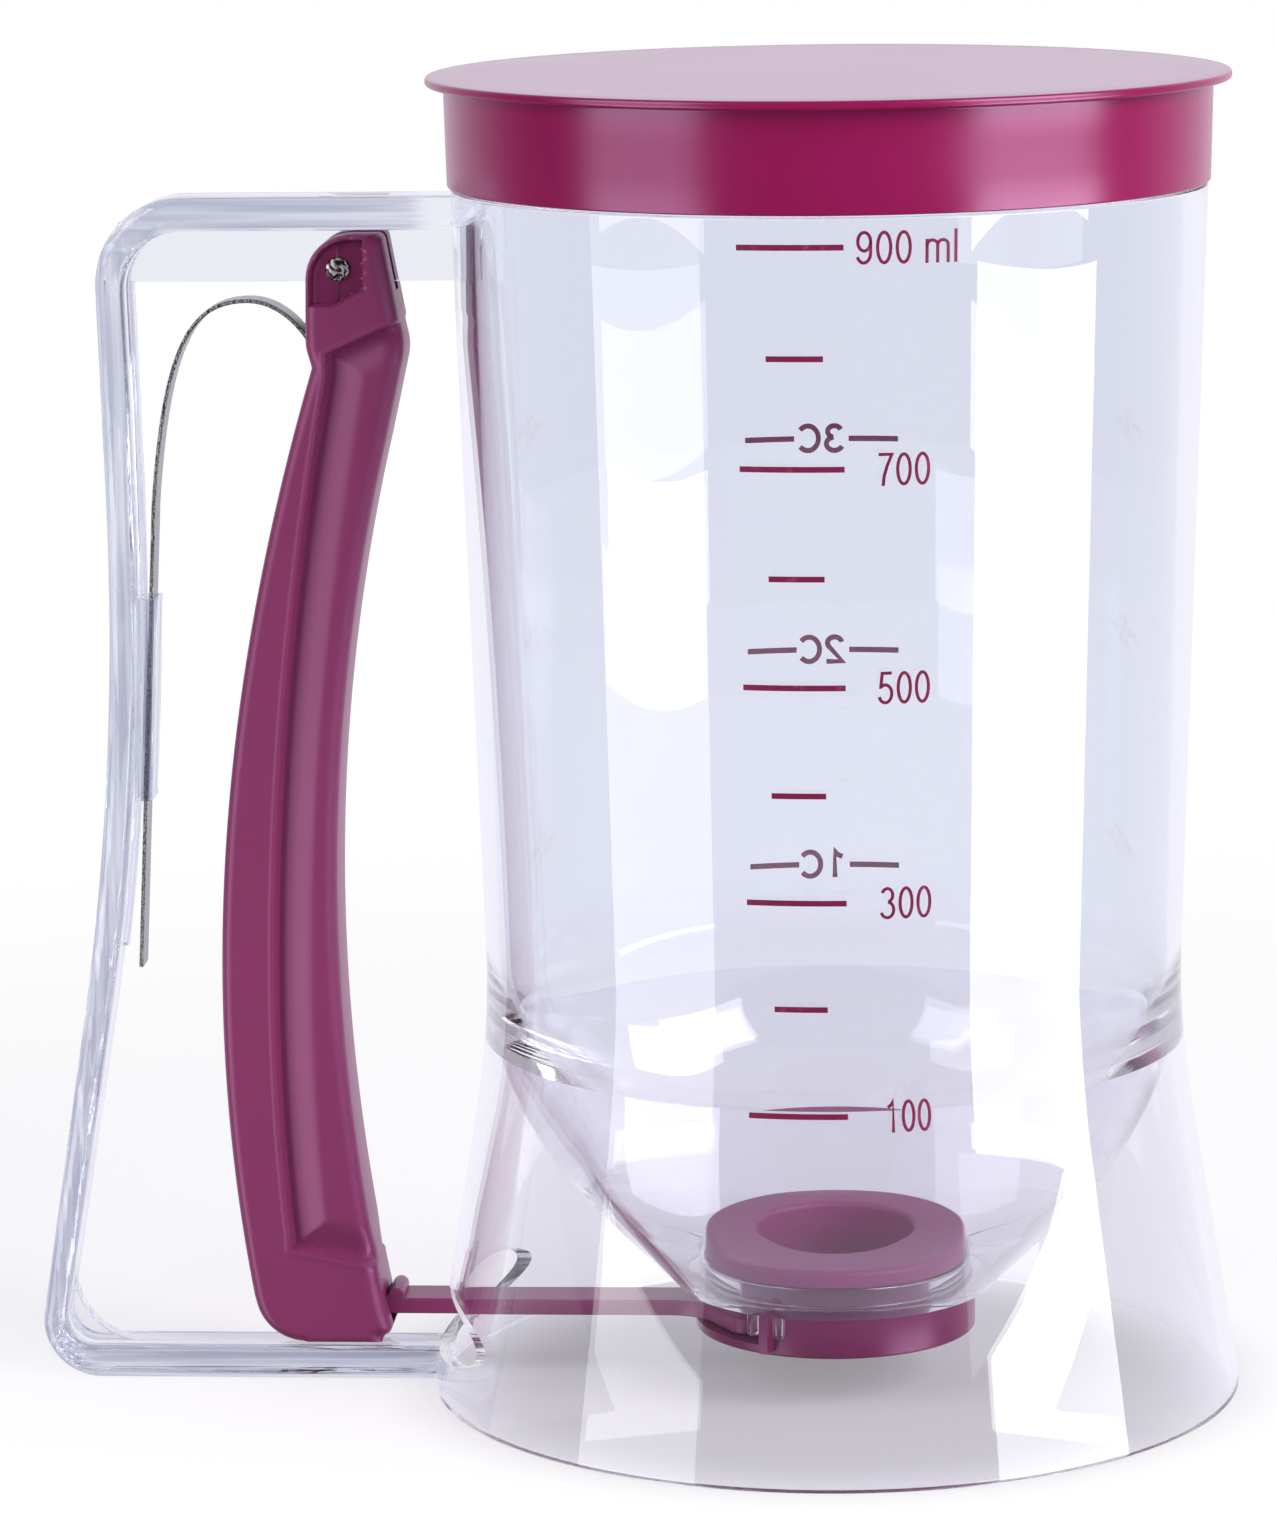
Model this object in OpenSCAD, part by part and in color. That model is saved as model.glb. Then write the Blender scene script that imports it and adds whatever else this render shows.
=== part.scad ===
// Pancake batter dispenser: a clear measuring cup on a skirt, with a lift-off lid, and a spring
// lever in the handle that draws a flat gate from under the outlet in the cup's funnel floor.
// Millimetres. Z is up, the table is z = 0, the cup's axis is the Z axis and the handle points to -X.

/* [Cup] */
// Outer radius of the skirt where it stands on the table
base_r = 56; // [54:0.5:60]
// Outer radius where the straight wall and the flared skirt would meet
waist_r = 47.4; // [46.6:0.2:48.4]
// Height of that waist above the table
waist_z = 50.6; // [47:0.5:54]
// Length of the waist's rounding to each side
waist_blend = 12; // [8:1:14]
// Outer radius of the wall at the shoulder, just under the lid
mouth_r = 50.9; // [50.2:0.1:52]
// Height of the shoulder above the table
shoulder_z = 166; // [150:1:185]
// Thickness of the cup's wall and skirt
wall = 2; // [1.6:0.1:2.4]
// Thickness of the narrow rim that the lid covers
rim_wall = 1.5; // [1.3:0.1:2]

/* [Funnel and outlet] */
// Height of the funnel floor's underside
floor_z = 13.7; // [12.7:0.1:16]
// Thickness of the funnel floor
floor_t = 2.3; // [1.8:0.1:3]
// Outer radius of the flat floor
floor_r = 21.5; // [21.2:0.1:23]
// Slope of the funnel's side
funnel_angle = 45; // [42:1:46]
// Thickness of the funnel's side
funnel_wall = 2.2; // [1.8:0.1:2.6]
// Height at which the funnel's underside meets the skirt
crotch_z = 49; // [47:0.5:50]
// Radius of the curve of the funnel's underside up to the skirt
under_round = 50; // [40:1:56]
// Radius of the fillet between the funnel's inside and the cup's wall
inner_round = 49; // [40:1:52]
// Radius of the outlet
outlet_r = 11; // [9:0.5:12]

/* [Lid] */
// Height of the lid's top above the shoulder
lid_h = 15; // [12:0.5:20]
// Radius of the lid's top flange
lid_r = 54; // [53:0.5:58]
// Thickness of the flange at the edge
flange_t = 1.2; // [1:0.1:2]
// Thickness of the lid's top plate
lid_plate = 1.8; // [1.4:0.1:2.5]
// Thickness of the lid's skirt
lid_wall = 1.3; // [1.1:0.1:1.6]
// How far the lid's skirt stands proud of the cup's wall
lid_proud = 0.35; // [0.1:0.05:0.8]
// How much the lid's skirt widens from its lower edge to the flange
lid_draft = 0.3; // [0:0.1:0.8]
// Radius of the flange's rounded edge
flange_round = 0.45; // [0.2:0.05:0.49]

/* [Handle] */
// Distance of the grip's centreline from the cup's axis at its upper corner
grip_top_s = 97.5; // [96:0.5:104]
// Distance of the grip's centreline from the cup's axis at its bend
grip_bend_s = 95.8; // [95:0.2:100]
// Height of the grip's bend
grip_bend_z = 87.4; // [80:1:95]
// Distance of the grip's centreline from the cup's axis at its foot
grip_foot_s = 110; // [108:0.5:116]
// Radius of the bend in the grip
grip_bend_r = 400; // [200:10:420]
// Radius of the upper corner, along the centreline
corner_top_r = 10; // [6:1:14]
// Radius of the lower corner, along the centreline
corner_low_r = 6; // [3:0.5:8]
// Depth of the handle's bars, from side to side
bar_depth = 9.6; // [9:0.2:11]
// Thickness of the handle's top and bottom bars
bar_t = 4.6; // [4:0.1:4.8]
// Thickness of the handle's upright grip
grip_t = 4; // [3.4:0.1:4.6]
// Drop from the shoulder to the top of the handle
handle_drop = 1.1; // [0.5:0.1:3]
// Thickness of the web and the gusset inside the handle
web_t = 2.4; // [1.8:0.1:2.8]
// Height of the web under the top bar
web_h = 7.1; // [5:0.1:9]
// How far the web's rib stands out along the grip
rib_h = 0.9; // [0.4:0.1:1.4]
// Drop from the grip's bend to the end of that rib
rib_drop = 27; // [20:1:34]
// Radius of the gusset in the lower corner
gusset_r = 9.6; // [6:0.2:12]

/* [Trigger] */
// Distance of the pivot from the cup's axis
pivot_s = 65.9; // [65:0.1:67]
// Drop from the top bar's underside to the pivot
pivot_drop = 5; // [4.9:0.1:5.2]
// Width of the trigger from side to side
trigger_w = 14; // [13.6:0.2:16]
// Thickness of the trigger's side walls
cheek_t = 2.4; // [2:0.1:2.6]
// Thickness of the trigger's finger wall
finger_wall = 2.2; // [1.8:0.1:2.6]
// Thickness of the trigger's top and bottom ends
end_wall = 1.8; // [1.4:0.1:2.2]
// Height of the trigger's head above the pivot
head_h = 4.6; // [4.2:0.1:4.6]
// Drop from the middle of the gate's arm to the trigger's sole
sole_drop = 4.5; // [4.3:0.1:4.8]
// Depth of the panel sunk into each side
panel_depth = 0.8; // [0.4:0.1:1.2]
// Depth of the pocket around each end of the pin
pocket_depth = 1.2; // [0.6:0.1:1.4]
// Diameter of the pivot pin
pin_d = 3.2; // [2.6:0.1:3.6]
// Wall round the pin in the web's lug
lug_wall = 2.6; // [2:0.1:2.8]
// Radius of the round hubs that the pin runs in
hub_r = 3.9; // [3.2:0.1:4.2]
// Number of stiffening ribs inside the trigger
stiffener_count = 4; // [2:1:5]
// Thickness of each stiffening rib
stiffener_t = 1.2; // [0.8:0.1:1.6]
// How far each stiffening rib stands out from the finger wall
stiffener_h = 3; // [2:0.5:4]

/* [Spring] */
// Width of the leaf spring
spring_w = 5; // [4:0.5:7]
// Thickness of the leaf spring
spring_t = 0.55; // [0.4:0.05:0.9]
// Drop from the grip's bend to the lower end of the spring's leg
leg_drop = 29; // [20:1:34]
// Rise from the grip's bend to the top of the eye that keeps the leg
eye_rise = 22.5; // [18:0.5:25]
// Height of that eye
eye_h = 28; // [14:1:32]
// Thickness of the eye's walls
eye_wall = 0.4; // [0.4:0.05:0.5]

/* [Gate and valve] */
// Height of the gate's underside
gate_z = 9.3; // [9.1:0.1:9.6]
// Thickness of the gate and its arm
gate_t = 2.2; // [2:0.1:2.4]
// Width of the gate's arm
arm_w = 7; // [5:0.5:7.4]
// How far the gate overlaps the outlet all round
gate_lap = 2; // [1.4:0.1:2.4]
// Radius of the rounded catch on top of the arm
bump_r = 1.1; // [0.8:0.1:1.3]
// How far the arm's end plate stands out beyond the arm, at each side and above
head_lap = 0.8; // [0.5:0.1:1]
// Thickness of the arm's end plate
head_t = 2; // [1.5:0.1:2.4]
// Outer radius of the valve housing
housing_r = 19.4; // [19:0.1:19.6]
// Thickness of the housing's round wall
housing_wall = 2.2; // [1.6:0.1:2.6]
// Thickness of the housing's floor
housing_floor = 1.3; // [1:0.1:1.5]
// How much wider the housing's lower hole is than the outlet, all round
lower_hole_lap = 1; // [0.5:0.1:1.5]
// Height of the boss on the floor that carries the seat ring
boss_h = 2.4; // [1.5:0.1:3]
// How far that boss stands out beyond the seat ring
boss_lap = 0.6; // [0.3:0.1:0.8]
// Outer radius of the seat ring
seat_r = 18.3; // [17:0.1:18.6]
// Height of the seat ring above its boss
seat_h = 2.5; // [2:0.1:3.5]
// Radius of the seat ring's rounded upper edges
seat_round = 0.8; // [0.3:0.1:1]
// Wall of the seat ring's neck
neck_wall = 2.2; // [1.6:0.1:2.4]
// Radius of the pegs that hang from the funnel floor
peg_r = 0.85; // [0.6:0.05:1]
// Length of each peg
peg_h = 3.2; // [2:0.1:4]
// Half width of the arm's window in the skirt
window_half_w = 26; // [15:1:28]
// Half height of the arm's window in the skirt
window_half_h = 4.8; // [4.4:0.1:5.2]
// Drop from the middle of the arm to the middle of that window
window_drop = 0.9; // [0.4:0.1:1.2]

/* [Fits] */
// Running clearance between parts that move past each other
gap = 0.3; // [0.25:0.05:0.4]
// Radial clearance between the pin and the trigger
pin_gap = 0.05; // [0.02:0.01:0.1]
// Radial clearance between the lid's skirt and the cup's rim
lid_gap = 0.35; // [0.3:0.05:0.5]
// Room under the arm in the trigger's slot, for the trigger's swing
slot_drop = 1.5; // [1.4:0.05:1.6]

/* [Hidden] */
$fn = 96;
ARC_STEPS = 8;
CURVE_STEPS = 14;
CUT = 20;    // how far a cutting shape runs past what it cuts
ROOT = 1;    // how deep an added rib or boss is rooted in the wall that carries it

// ---- Levels and radii that follow from the sizes above ----
bar_top_z = shoulder_z - handle_drop;
bar_under_z = bar_top_z - bar_t;
web_low_z = bar_under_z - web_h;
pivot = [pivot_s, bar_under_z - pivot_drop];
lid_top_z = shoulder_z + lid_h;
lid_ceiling_z = lid_top_z - lid_plate;
lid_skirt_r = mouth_r + lid_proud;
rim_r = lid_skirt_r - lid_wall - lid_gap;
rim_top_z = lid_ceiling_z - gap;
floor_top_z = floor_z + floor_t;
boss_top_z = floor_top_z + boss_h;
gate_top_z = gate_z + gate_t;
arm_mid_z = gate_z + gate_t / 2;
lever = pivot.y - arm_mid_z;      // from the pivot down to the arm
gate_r = outlet_r + gate_lap;
neck_r = outlet_r + neck_wall;
pin_r = pin_d / 2;
lug_r = pin_r + lug_wall;
hollow_w = trigger_w - 2 * cheek_t;
fork_w = web_t + 2 * gap;

// ---- Outline helpers ----
function unit(v) = v / norm(v);
function flat(p) = [p.x, p.y];
function reversed(list) = [for (i = [len(list) - 1:-1:0]) list[i]];
function sharp(path) = [for (p = path) [p.x, p.y, 0]];

// The arc that rounds the corner p = [x, y, radius] between its neighbours a and b
function corner(a, p, b) =
    let (r = p[2],
         u = unit(flat(a) - flat(p)),
         v = unit(flat(b) - flat(p)),
         half = acos(u * v) / 2,
         centre = flat(p) + unit(u + v) * r / sin(half),
         first = flat(p) + u * r / tan(half) - centre,
         end = flat(p) + v * r / tan(half) - centre,
         start = atan2(first.y, first.x),
         turn = atan2(first.x * end.y - first.y * end.x, first * end))
    [for (i = [0:ARC_STEPS]) let (a = start + turn * i / ARC_STEPS) centre + r * [cos(a), sin(a)]];

// Outline with each corner [x, y, radius] rounded. A radius of 0 keeps the corner sharp.
function rounded(pts) =
    let (n = len(pts))
    [for (i = [0:n - 1])
        each (pts[i][2] == 0 ? [flat(pts[i])] : corner(pts[(i + n - 1) % n], pts[i], pts[(i + 1) % n]))];

function bezier(a, b, c, d) =
    [for (i = [0:CURVE_STEPS])
        let (t = i / CURVE_STEPS, s = 1 - t)
        a * s * s * s + b * 3 * s * s * t + c * 3 * s * t * t + d * t * t * t];

// A path moved sideways by d, to its left when d is positive
function normal_at(path, i) =
    let (n = len(path), d = unit(path[min(i + 1, n - 1)] - path[max(i - 1, 0)])) [-d.y, d.x];
function shifted(path, d) = [for (i = [0:len(path) - 1]) path[i] + normal_at(path, i) * d];
function moved(path, d) = [for (p = path) p + d];
function ribbon(path, t) = concat(shifted(path, t / 2), reversed(shifted(path, -t / 2)));

// Stands a side view [distance from the cup's axis, height] up in the handle's plane.
module upright(width) {
    rotate([90, 0, 0]) linear_extrude(width, center = true) mirror([1, 0]) children();
}

// A bar from side to side through the point [distance from the cup's axis, height]
module crosswise(at, r, length) {
    translate([-at.x, 0, at.y]) rotate([90, 0, 0]) cylinder(r = r, h = length, center = true);
}

// ---- Cup ----
half_bend = (atan((base_r - waist_r) / waist_z)
             + atan((mouth_r - waist_r) / (shoulder_z - waist_z))) / 2;
waist_round = waist_blend / tan(half_bend);
outer_line = rounded([[base_r, 0, 0], [waist_r, waist_z, waist_round], [mouth_r, shoulder_z, 0]]);
inner_line = moved(outer_line, [-wall, 0]);
waist_top = len(outer_line) - 2;         // index of the upper end of the waist's rounding
crotch = [lookup(crotch_z, [for (p = inner_line) [p.y, p.x]]), crotch_z];

// All that lies inside the cup's outer face
module cup_solid() {
    rotate_extrude() polygon(concat([[0, 0]], outer_line, [[0, shoulder_z]]));
}

// The wall's inside runs straight from the waist to the rim.
module cup_wall() {
    color("#dfe3f2") rotate_extrude() polygon([
        outer_line[waist_top], outer_line[waist_top + 1], [rim_r, shoulder_z], [rim_r, rim_top_z],
        [rim_r - rim_wall, rim_top_z], inner_line[waist_top]]);
}

// The wide oval that the gate's arm passes through
module arm_window() {
    translate([-waist_r, 0, arm_mid_z - window_drop]) rotate([90, 0, 90])
        linear_extrude(2 * CUT, center = true)
            polygon([for (a = [0:10:350]) [window_half_w * cos(a), window_half_h * sin(a)]]);
}

module base_skirt() {
    low_line = [for (i = [0:waist_top]) outer_line[i]];
    color("#dfe3f2") difference() {
        rotate_extrude() polygon(concat(low_line, reversed(moved(low_line, [-wall, 0]))));
        arm_window();
    }
}

// The funnel's two faces, each from the floor up to the wall
rise = tan(funnel_angle);
up_side = [cos(funnel_angle), sin(funnel_angle)];
off_side = [-up_side.y, up_side.x];
to_crotch = crotch - [floor_r, floor_z];
off = to_crotch * off_side;              // the crotch's distance from the line of the funnel's side
bend_at = to_crotch * up_side - sqrt(2 * off * under_round - off * off);
under_centre = [floor_r, floor_z] + bend_at * up_side + under_round * off_side;
crotch_angle = atan2(crotch.y - under_centre.y, crotch.x - under_centre.x);
under_face = concat(
    [[floor_r, floor_z]],
    [for (i = [0:ARC_STEPS])
        let (a = (funnel_angle - 90) * (1 - i / ARC_STEPS) + crotch_angle * i / ARC_STEPS)
        under_centre + under_round * [cos(a), sin(a)]]);
top_in = inner_line[waist_top];
run_out_t = 0.3;                         // thickness left where the inside's fillet ends on the wall
face_end = top_in - [run_out_t, 0];
cone_base_z = floor_z + funnel_wall / cos(funnel_angle);
boss_r = seat_r + boss_lap;
upper_face = rounded([[boss_r, floor_top_z, 0],
                      [floor_r + (floor_top_z - cone_base_z) / rise, floor_top_z, 0],
                      [face_end.x, cone_base_z + (face_end.x - floor_r) * rise, inner_round],
                      [face_end.x, face_end.y, 0]]);

peg_inset = 0.15;                        // from the pegs to the floor's edge
peg_ring_r = floor_r - peg_r - peg_inset;
peg_angle = 59;                          // of the first peg of a pair, from the handle's side
peg_spread = 11;                         // from one peg of a pair to the other

module peg(angle) {
    rotate([0, 0, angle]) translate([-peg_ring_r, 0, floor_z - peg_h + peg_r]) {
        cylinder(r = peg_r, h = peg_h);
        sphere(r = peg_r);
    }
}

module funnel_bowl() {
    hole_r = neck_r + gap;
    side_line = [for (i = [1:waist_top]) if (inner_line[i].y > crotch_z) inner_line[i]];
    color("#d6daec") {
        rotate_extrude() polygon(concat([[hole_r, floor_z]], under_face, side_line,
                                        reversed(upper_face), [[boss_r, boss_top_z], [hole_r, boss_top_z]]));
        for (half = [-1, 1], k = [0, 1]) peg(half * (peg_angle + k * peg_spread));
    }
}

// ---- Handle ----
// The frame's outline at a side: 1 for its outer face, -1 for its inner face, 0 for its middle
function frame_line(side) =
    let (out = side * grip_t / 2, down = bar_t / 2 * (1 - side))
    rounded([
        [mouth_r - wall, bar_top_z - down, 0],
        [grip_top_s + out, bar_top_z - down, corner_top_r + out],
        [grip_bend_s + out, grip_bend_z, grip_bend_r],
        [grip_foot_s + out, down, corner_low_r + out],
        [base_r - wall, down, 0]]);

// Distance of the grip's inner face from the cup's axis, below the bend
function grip_face_s(z) =
    grip_foot_s - grip_t / 2 - (grip_foot_s - grip_bend_s) * (z - bar_t) / (grip_bend_z - bar_t);

// The thin plate under the top bar, with the pivot's lug and a rib down the grip
module web_outline() {
    rib_end_z = grip_bend_z - rib_drop;
    rib_face = [for (p = moved(frame_line(-1), [-rib_h, 0])) if (p.y < web_low_z && p.y > rib_end_z) p];
    rib_back = [for (p = frame_line(0)) if (p.y < web_low_z && p.y > rib_end_z) p];
    root_z = bar_under_z + ROOT;
    polygon(concat([[mouth_r - wall, root_z], [mouth_r - wall, web_low_z], [rib_face[0].x, web_low_z]],
                   rib_face, reversed(rib_back), [[rib_back[0].x, root_z]]));
    translate(pivot) circle(r = lug_r);
}

// The thin plate that fills the lower corner up to a round edge
module gusset_outline() {
    top_z = bar_t + gusset_r;
    centre = [grip_face_s(top_z) - gusset_r, top_z];
    difference() {
        translate([centre.x, bar_t / 2]) square([gusset_r + grip_t / 2, gusset_r + bar_t / 2]);
        translate(centre) circle(r = gusset_r);
    }
}

// The eye on the grip's inner side that the spring's leg passes through
module spring_eye() {
    top_z = grip_bend_z + eye_rise;
    low_z = top_z - eye_h;
    room = spring_t / 2 + gap;
    slot_w = spring_w + 2 * gap;
    difference() {
        upright(slot_w + 2 * eye_wall) polygon([
            [leg_s_at(top_z) - room - eye_wall, top_z], [grip_bend_s, top_z],
            [grip_bend_s, low_z], [leg_s_at(low_z) - room - eye_wall, low_z]]);
        upright(slot_w) polygon([
            [leg_s_at(top_z + CUT) - room, top_z + CUT], [leg_s_at(top_z + CUT) + room, top_z + CUT],
            [leg_s_at(low_z - CUT) + room, low_z - CUT], [leg_s_at(low_z - CUT) - room, low_z - CUT]]);
    }
}

module handle_frame() {
    color("#d9def0") difference() {
        union() {
            upright(bar_depth) polygon(concat(frame_line(1), reversed(frame_line(-1))));
            upright(web_t) web_outline();
            upright(web_t) gusset_outline();
            spring_eye();
        }
        cup_solid();
        crosswise(pivot, pin_r, web_t + CUT);
    }
}

// ---- Lid ----
module lid() {
    flange_z = lid_top_z - flange_t;
    skirt_low_z = shoulder_z + gap;
    color("#8a1a4e") rotate_extrude() polygon(rounded([
        [0, lid_top_z, 0], [lid_r, lid_top_z, flange_round], [lid_r, flange_z, flange_round],
        [lid_skirt_r + lid_draft, flange_z, 0], [lid_skirt_r, skirt_low_z, 0],
        [lid_skirt_r - lid_wall, skirt_low_z, 0], [lid_skirt_r - lid_wall, lid_ceiling_z, 0],
        [0, lid_ceiling_z, 0]]));
}

// ---- Trigger ----
// A point of the lever: how far it lies outward of the pivot, and its share of the lever's length
function along(out, share) = [pivot.x + out, pivot.y - share * lever];

front_edge = bezier([pivot.x - 3.4, arm_mid_z + 1.7], along(4.3, 0.71), along(3.9, 0.437),
                    along(-6.1, 0.159));
rear_edge = bezier(along(3.8, 0.092), along(17.3, 0.391), along(22, 0.686),
                   [pivot.x + 14.7, arm_mid_z + 2.2]);
head_top_z = pivot.y + head_h;
sole_z = arm_mid_z - sole_drop;
brow = [pivot.x - 8.8, pivot.y - 11.0];   // where the finger edge turns up to the head

trigger_outline = rounded(concat(
    sharp(front_edge),
    [[brow.x, brow.y, 9], [pivot.x - 6, head_top_z, 1], [pivot.x + 4.3, head_top_z, 6],
     [pivot.x + 4.6, pivot.y - 10.5, 2]],
    sharp(rear_edge),
    [[pivot.x + 13, sole_z, 7], [pivot.x + 3, sole_z, 3], [pivot.x - 4.8, sole_z + 0.8, 1.5]]));

// The hollow is open to the rear, so its outline runs out past the rear edge.
hollow_outline = concat(
    [[pivot.x - 4.5 + finger_wall, sole_z + end_wall]],
    moved(front_edge, [finger_wall, 0]),
    [brow + [finger_wall, 0], [pivot.x - 5.8 + finger_wall, head_top_z - end_wall],
     [pivot.x + CUT, head_top_z - end_wall], [pivot.x + 2 * CUT, sole_z + end_wall]]);

// The sunk panel on each side is open to the finger side.
panel_outline = concat(
    [[pivot.x - 12, arm_mid_z + 4.3], [pivot.x + 9, arm_mid_z + 8.8]],
    bezier([pivot.x + 9.4, arm_mid_z + 10.5], along(12.9, 0.686), along(10.1, 0.391), along(1.9, 0.1)),
    [along(0.1, 0.073), [pivot.x - 12, pivot.y - 5.2]]);

pocket_outline = moved(
    [[-3, CUT], [-3.9, -2.6], [-0.1, -4.5], [CUT, -5.2], [CUT, CUT]], pivot);

// Sinks an outline into both cheeks of the trigger.
module both_cheeks(depth) {
    for (side = [-1, 1])
        translate([0, side * (trigger_w / 2 - depth + CUT / 2), 0]) upright(CUT) children();
}

// A rib across the hollow, on the back of the finger wall, at a share of the lever's length
module stiffener(share) {
    z = pivot.y - share * lever;
    below = [for (p = front_edge) if (p.y <= z) p];
    wall_s = below[len(below) - 1].x + finger_wall;
    upright(hollow_w + ROOT) translate([wall_s - ROOT, z - stiffener_t / 2])
        square([stiffener_h + ROOT, stiffener_t]);
}

module trigger() {
    first_share = 0.34;
    last_share = 0.88;
    share_step = (last_share - first_share) / (stiffener_count - 1);
    color("#7d2350") difference() {
        union() {
            difference() {
                upright(trigger_w) polygon(trigger_outline);
                upright(hollow_w) polygon(hollow_outline);
                both_cheeks(panel_depth) polygon(panel_outline);
                both_cheeks(pocket_depth) polygon(pocket_outline);
            }
            crosswise(pivot, hub_r, hollow_w + 2 * ROOT);
            for (i = [0:stiffener_count - 1]) stiffener(first_share + i * share_step);
        }
        // the fork that straddles the web and its lug
        upright(fork_w) translate([pivot.x - CUT, web_low_z - 4 * gap]) square([2 * CUT, CUT]);
        upright(fork_w) translate(pivot) circle(r = lug_r + gap);
        crosswise(pivot, pin_r + pin_gap, trigger_w + CUT);
        // the slot for the gate's arm
        upright(arm_w + 2 * gap) translate([pivot.x - CUT, gate_z - slot_drop])
            square([CUT, slot_drop + gate_t + gap]);
    }
}

module pivot_pin() {
    color("#b9bcc0") crosswise(pivot, pin_r, trigger_w - 2 * pocket_depth + 2 * gap);
}

// ---- Leaf spring ----
spring_apex = pivot + [12.9, -4.6];
spring_mouth = pivot + [3.7, -11.5];             // where it enters the trigger
spring_shoulder = [grip_bend_s - 3.6, grip_bend_z + 35.6];
leg_room = 3.1;                                  // from the leg's foot to the grip
leg_foot_z = grip_bend_z - leg_drop;
leg_foot = [grip_face_s(leg_foot_z) - leg_room, leg_foot_z];

// Distance of the leg's centreline from the cup's axis at a height
function leg_s_at(z) =
    leg_foot.x + (spring_shoulder.x - leg_foot.x) * (z - leg_foot.y) / (spring_shoulder.y - leg_foot.y);

function after_first(path) = [for (i = [1:len(path) - 1]) path[i]];

spring_line = concat(
    bezier(pivot + [-2, -27.8], pivot + [-1.2, -21.8], spring_mouth - [1.7, 3.3], spring_mouth),
    after_first(bezier(spring_mouth, spring_mouth + [2, 4], spring_apex - [3.9, 0], spring_apex)),
    after_first(bezier(spring_apex, spring_apex + [7.5, 0], spring_shoulder + [-2, 22], spring_shoulder)),
    [leg_foot]);

module leaf_spring() {
    color("#7b7b78") upright(spring_w) polygon(ribbon(spring_line, spring_t));
}

// ---- Gate ----
// The arm's end plate lies behind the trigger's finger wall and is larger than its slot.
module gate_slider() {
    head_s = pivot.x - 3.2 + finger_wall + 2 * gap;
    head_w = arm_w + 2 * head_lap;
    bump_s = pivot.x - 4.9;
    flare_s = gate_r + 6;
    half_plan = [[-head_s, arm_w / 2, 0], [-flare_s, arm_w / 2, 7], [-gate_r, gate_r, 2.5], [0, gate_r, 0]];
    other_half = [for (p = reversed(half_plan)) [p.x, -p.y, p[2]]];
    color("#8f2b5c") {
        translate([0, 0, gate_z]) linear_extrude(gate_t) union() {
            circle(r = gate_r);
            polygon(rounded(concat(half_plan, other_half)));
        }
        translate([-head_s - head_t, -head_w / 2, gate_z]) cube([head_t, head_w, gate_t + 2 * head_lap]);
        crosswise([bump_s, gate_top_z + bump_r / 3], bump_r, arm_w);
    }
}

// ---- Valve ----
module valve_housing() {
    channel_z = gate_z - gap;
    low_z = channel_z - housing_floor;
    channel_w = 2 * (gate_r + gap);
    mouth_s = housing_r / 2;             // the housing is open to the handle's side beyond this
    key_w = 1.3;                         // of the key that stands between each pair of pegs
    key_angle = peg_angle + peg_spread / 2;
    key_low_z = low_z + housing_floor / 2;
    color("#7d2350") {
        difference() {
            translate([0, 0, low_z]) cylinder(r = housing_r, h = floor_z - low_z);
            translate([0, 0, low_z - CUT / 2]) cylinder(r = outlet_r + lower_hole_lap, h = CUT);
            intersection() {
                translate([0, 0, channel_z]) cylinder(r = housing_r - housing_wall, h = CUT);
                translate([-housing_r, -channel_w / 2, channel_z]) cube([2 * housing_r, channel_w, CUT]);
            }
            translate([-2 * housing_r, -housing_r, channel_z])
                cube([2 * housing_r - mouth_s, 2 * housing_r, CUT]);
        }
        for (side = [-1, 1]) rotate([0, 0, side * key_angle])
            translate([-peg_ring_r - peg_r, -key_w / 2, key_low_z])
                cube([peg_ring_r + peg_r - housing_r + ROOT, key_w, floor_z - key_low_z]);
    }
}

module seat_ring() {
    neck_low_z = gate_top_z + gap;
    top_z = boss_top_z + seat_h;
    color("#6d1a45") rotate_extrude() polygon(rounded([
        [outlet_r, neck_low_z, 0], [neck_r, neck_low_z, 0], [neck_r, boss_top_z, 0],
        [seat_r, boss_top_z, 0], [seat_r, top_z, seat_round], [outlet_r, top_z, seat_round]]));
}

cup_wall();
funnel_bowl();
base_skirt();
handle_frame();
lid();
trigger();
pivot_pin();
leaf_spring();
gate_slider();
valve_housing();
seat_ring();
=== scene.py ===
"""Pancake batter dispenser: a clear cup on a skirt, its lid, and a spring lever that draws a gate.

Lengths are millimetres in the part's frame: the table is z = 0, the cup's axis is z and the handle
points to -x. Side views use [s, z], where s = -x is the distance from the cup's axis.
"""

import math

import bmesh
import bpy
import numpy as np
from mathutils import Matrix, Vector

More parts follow.
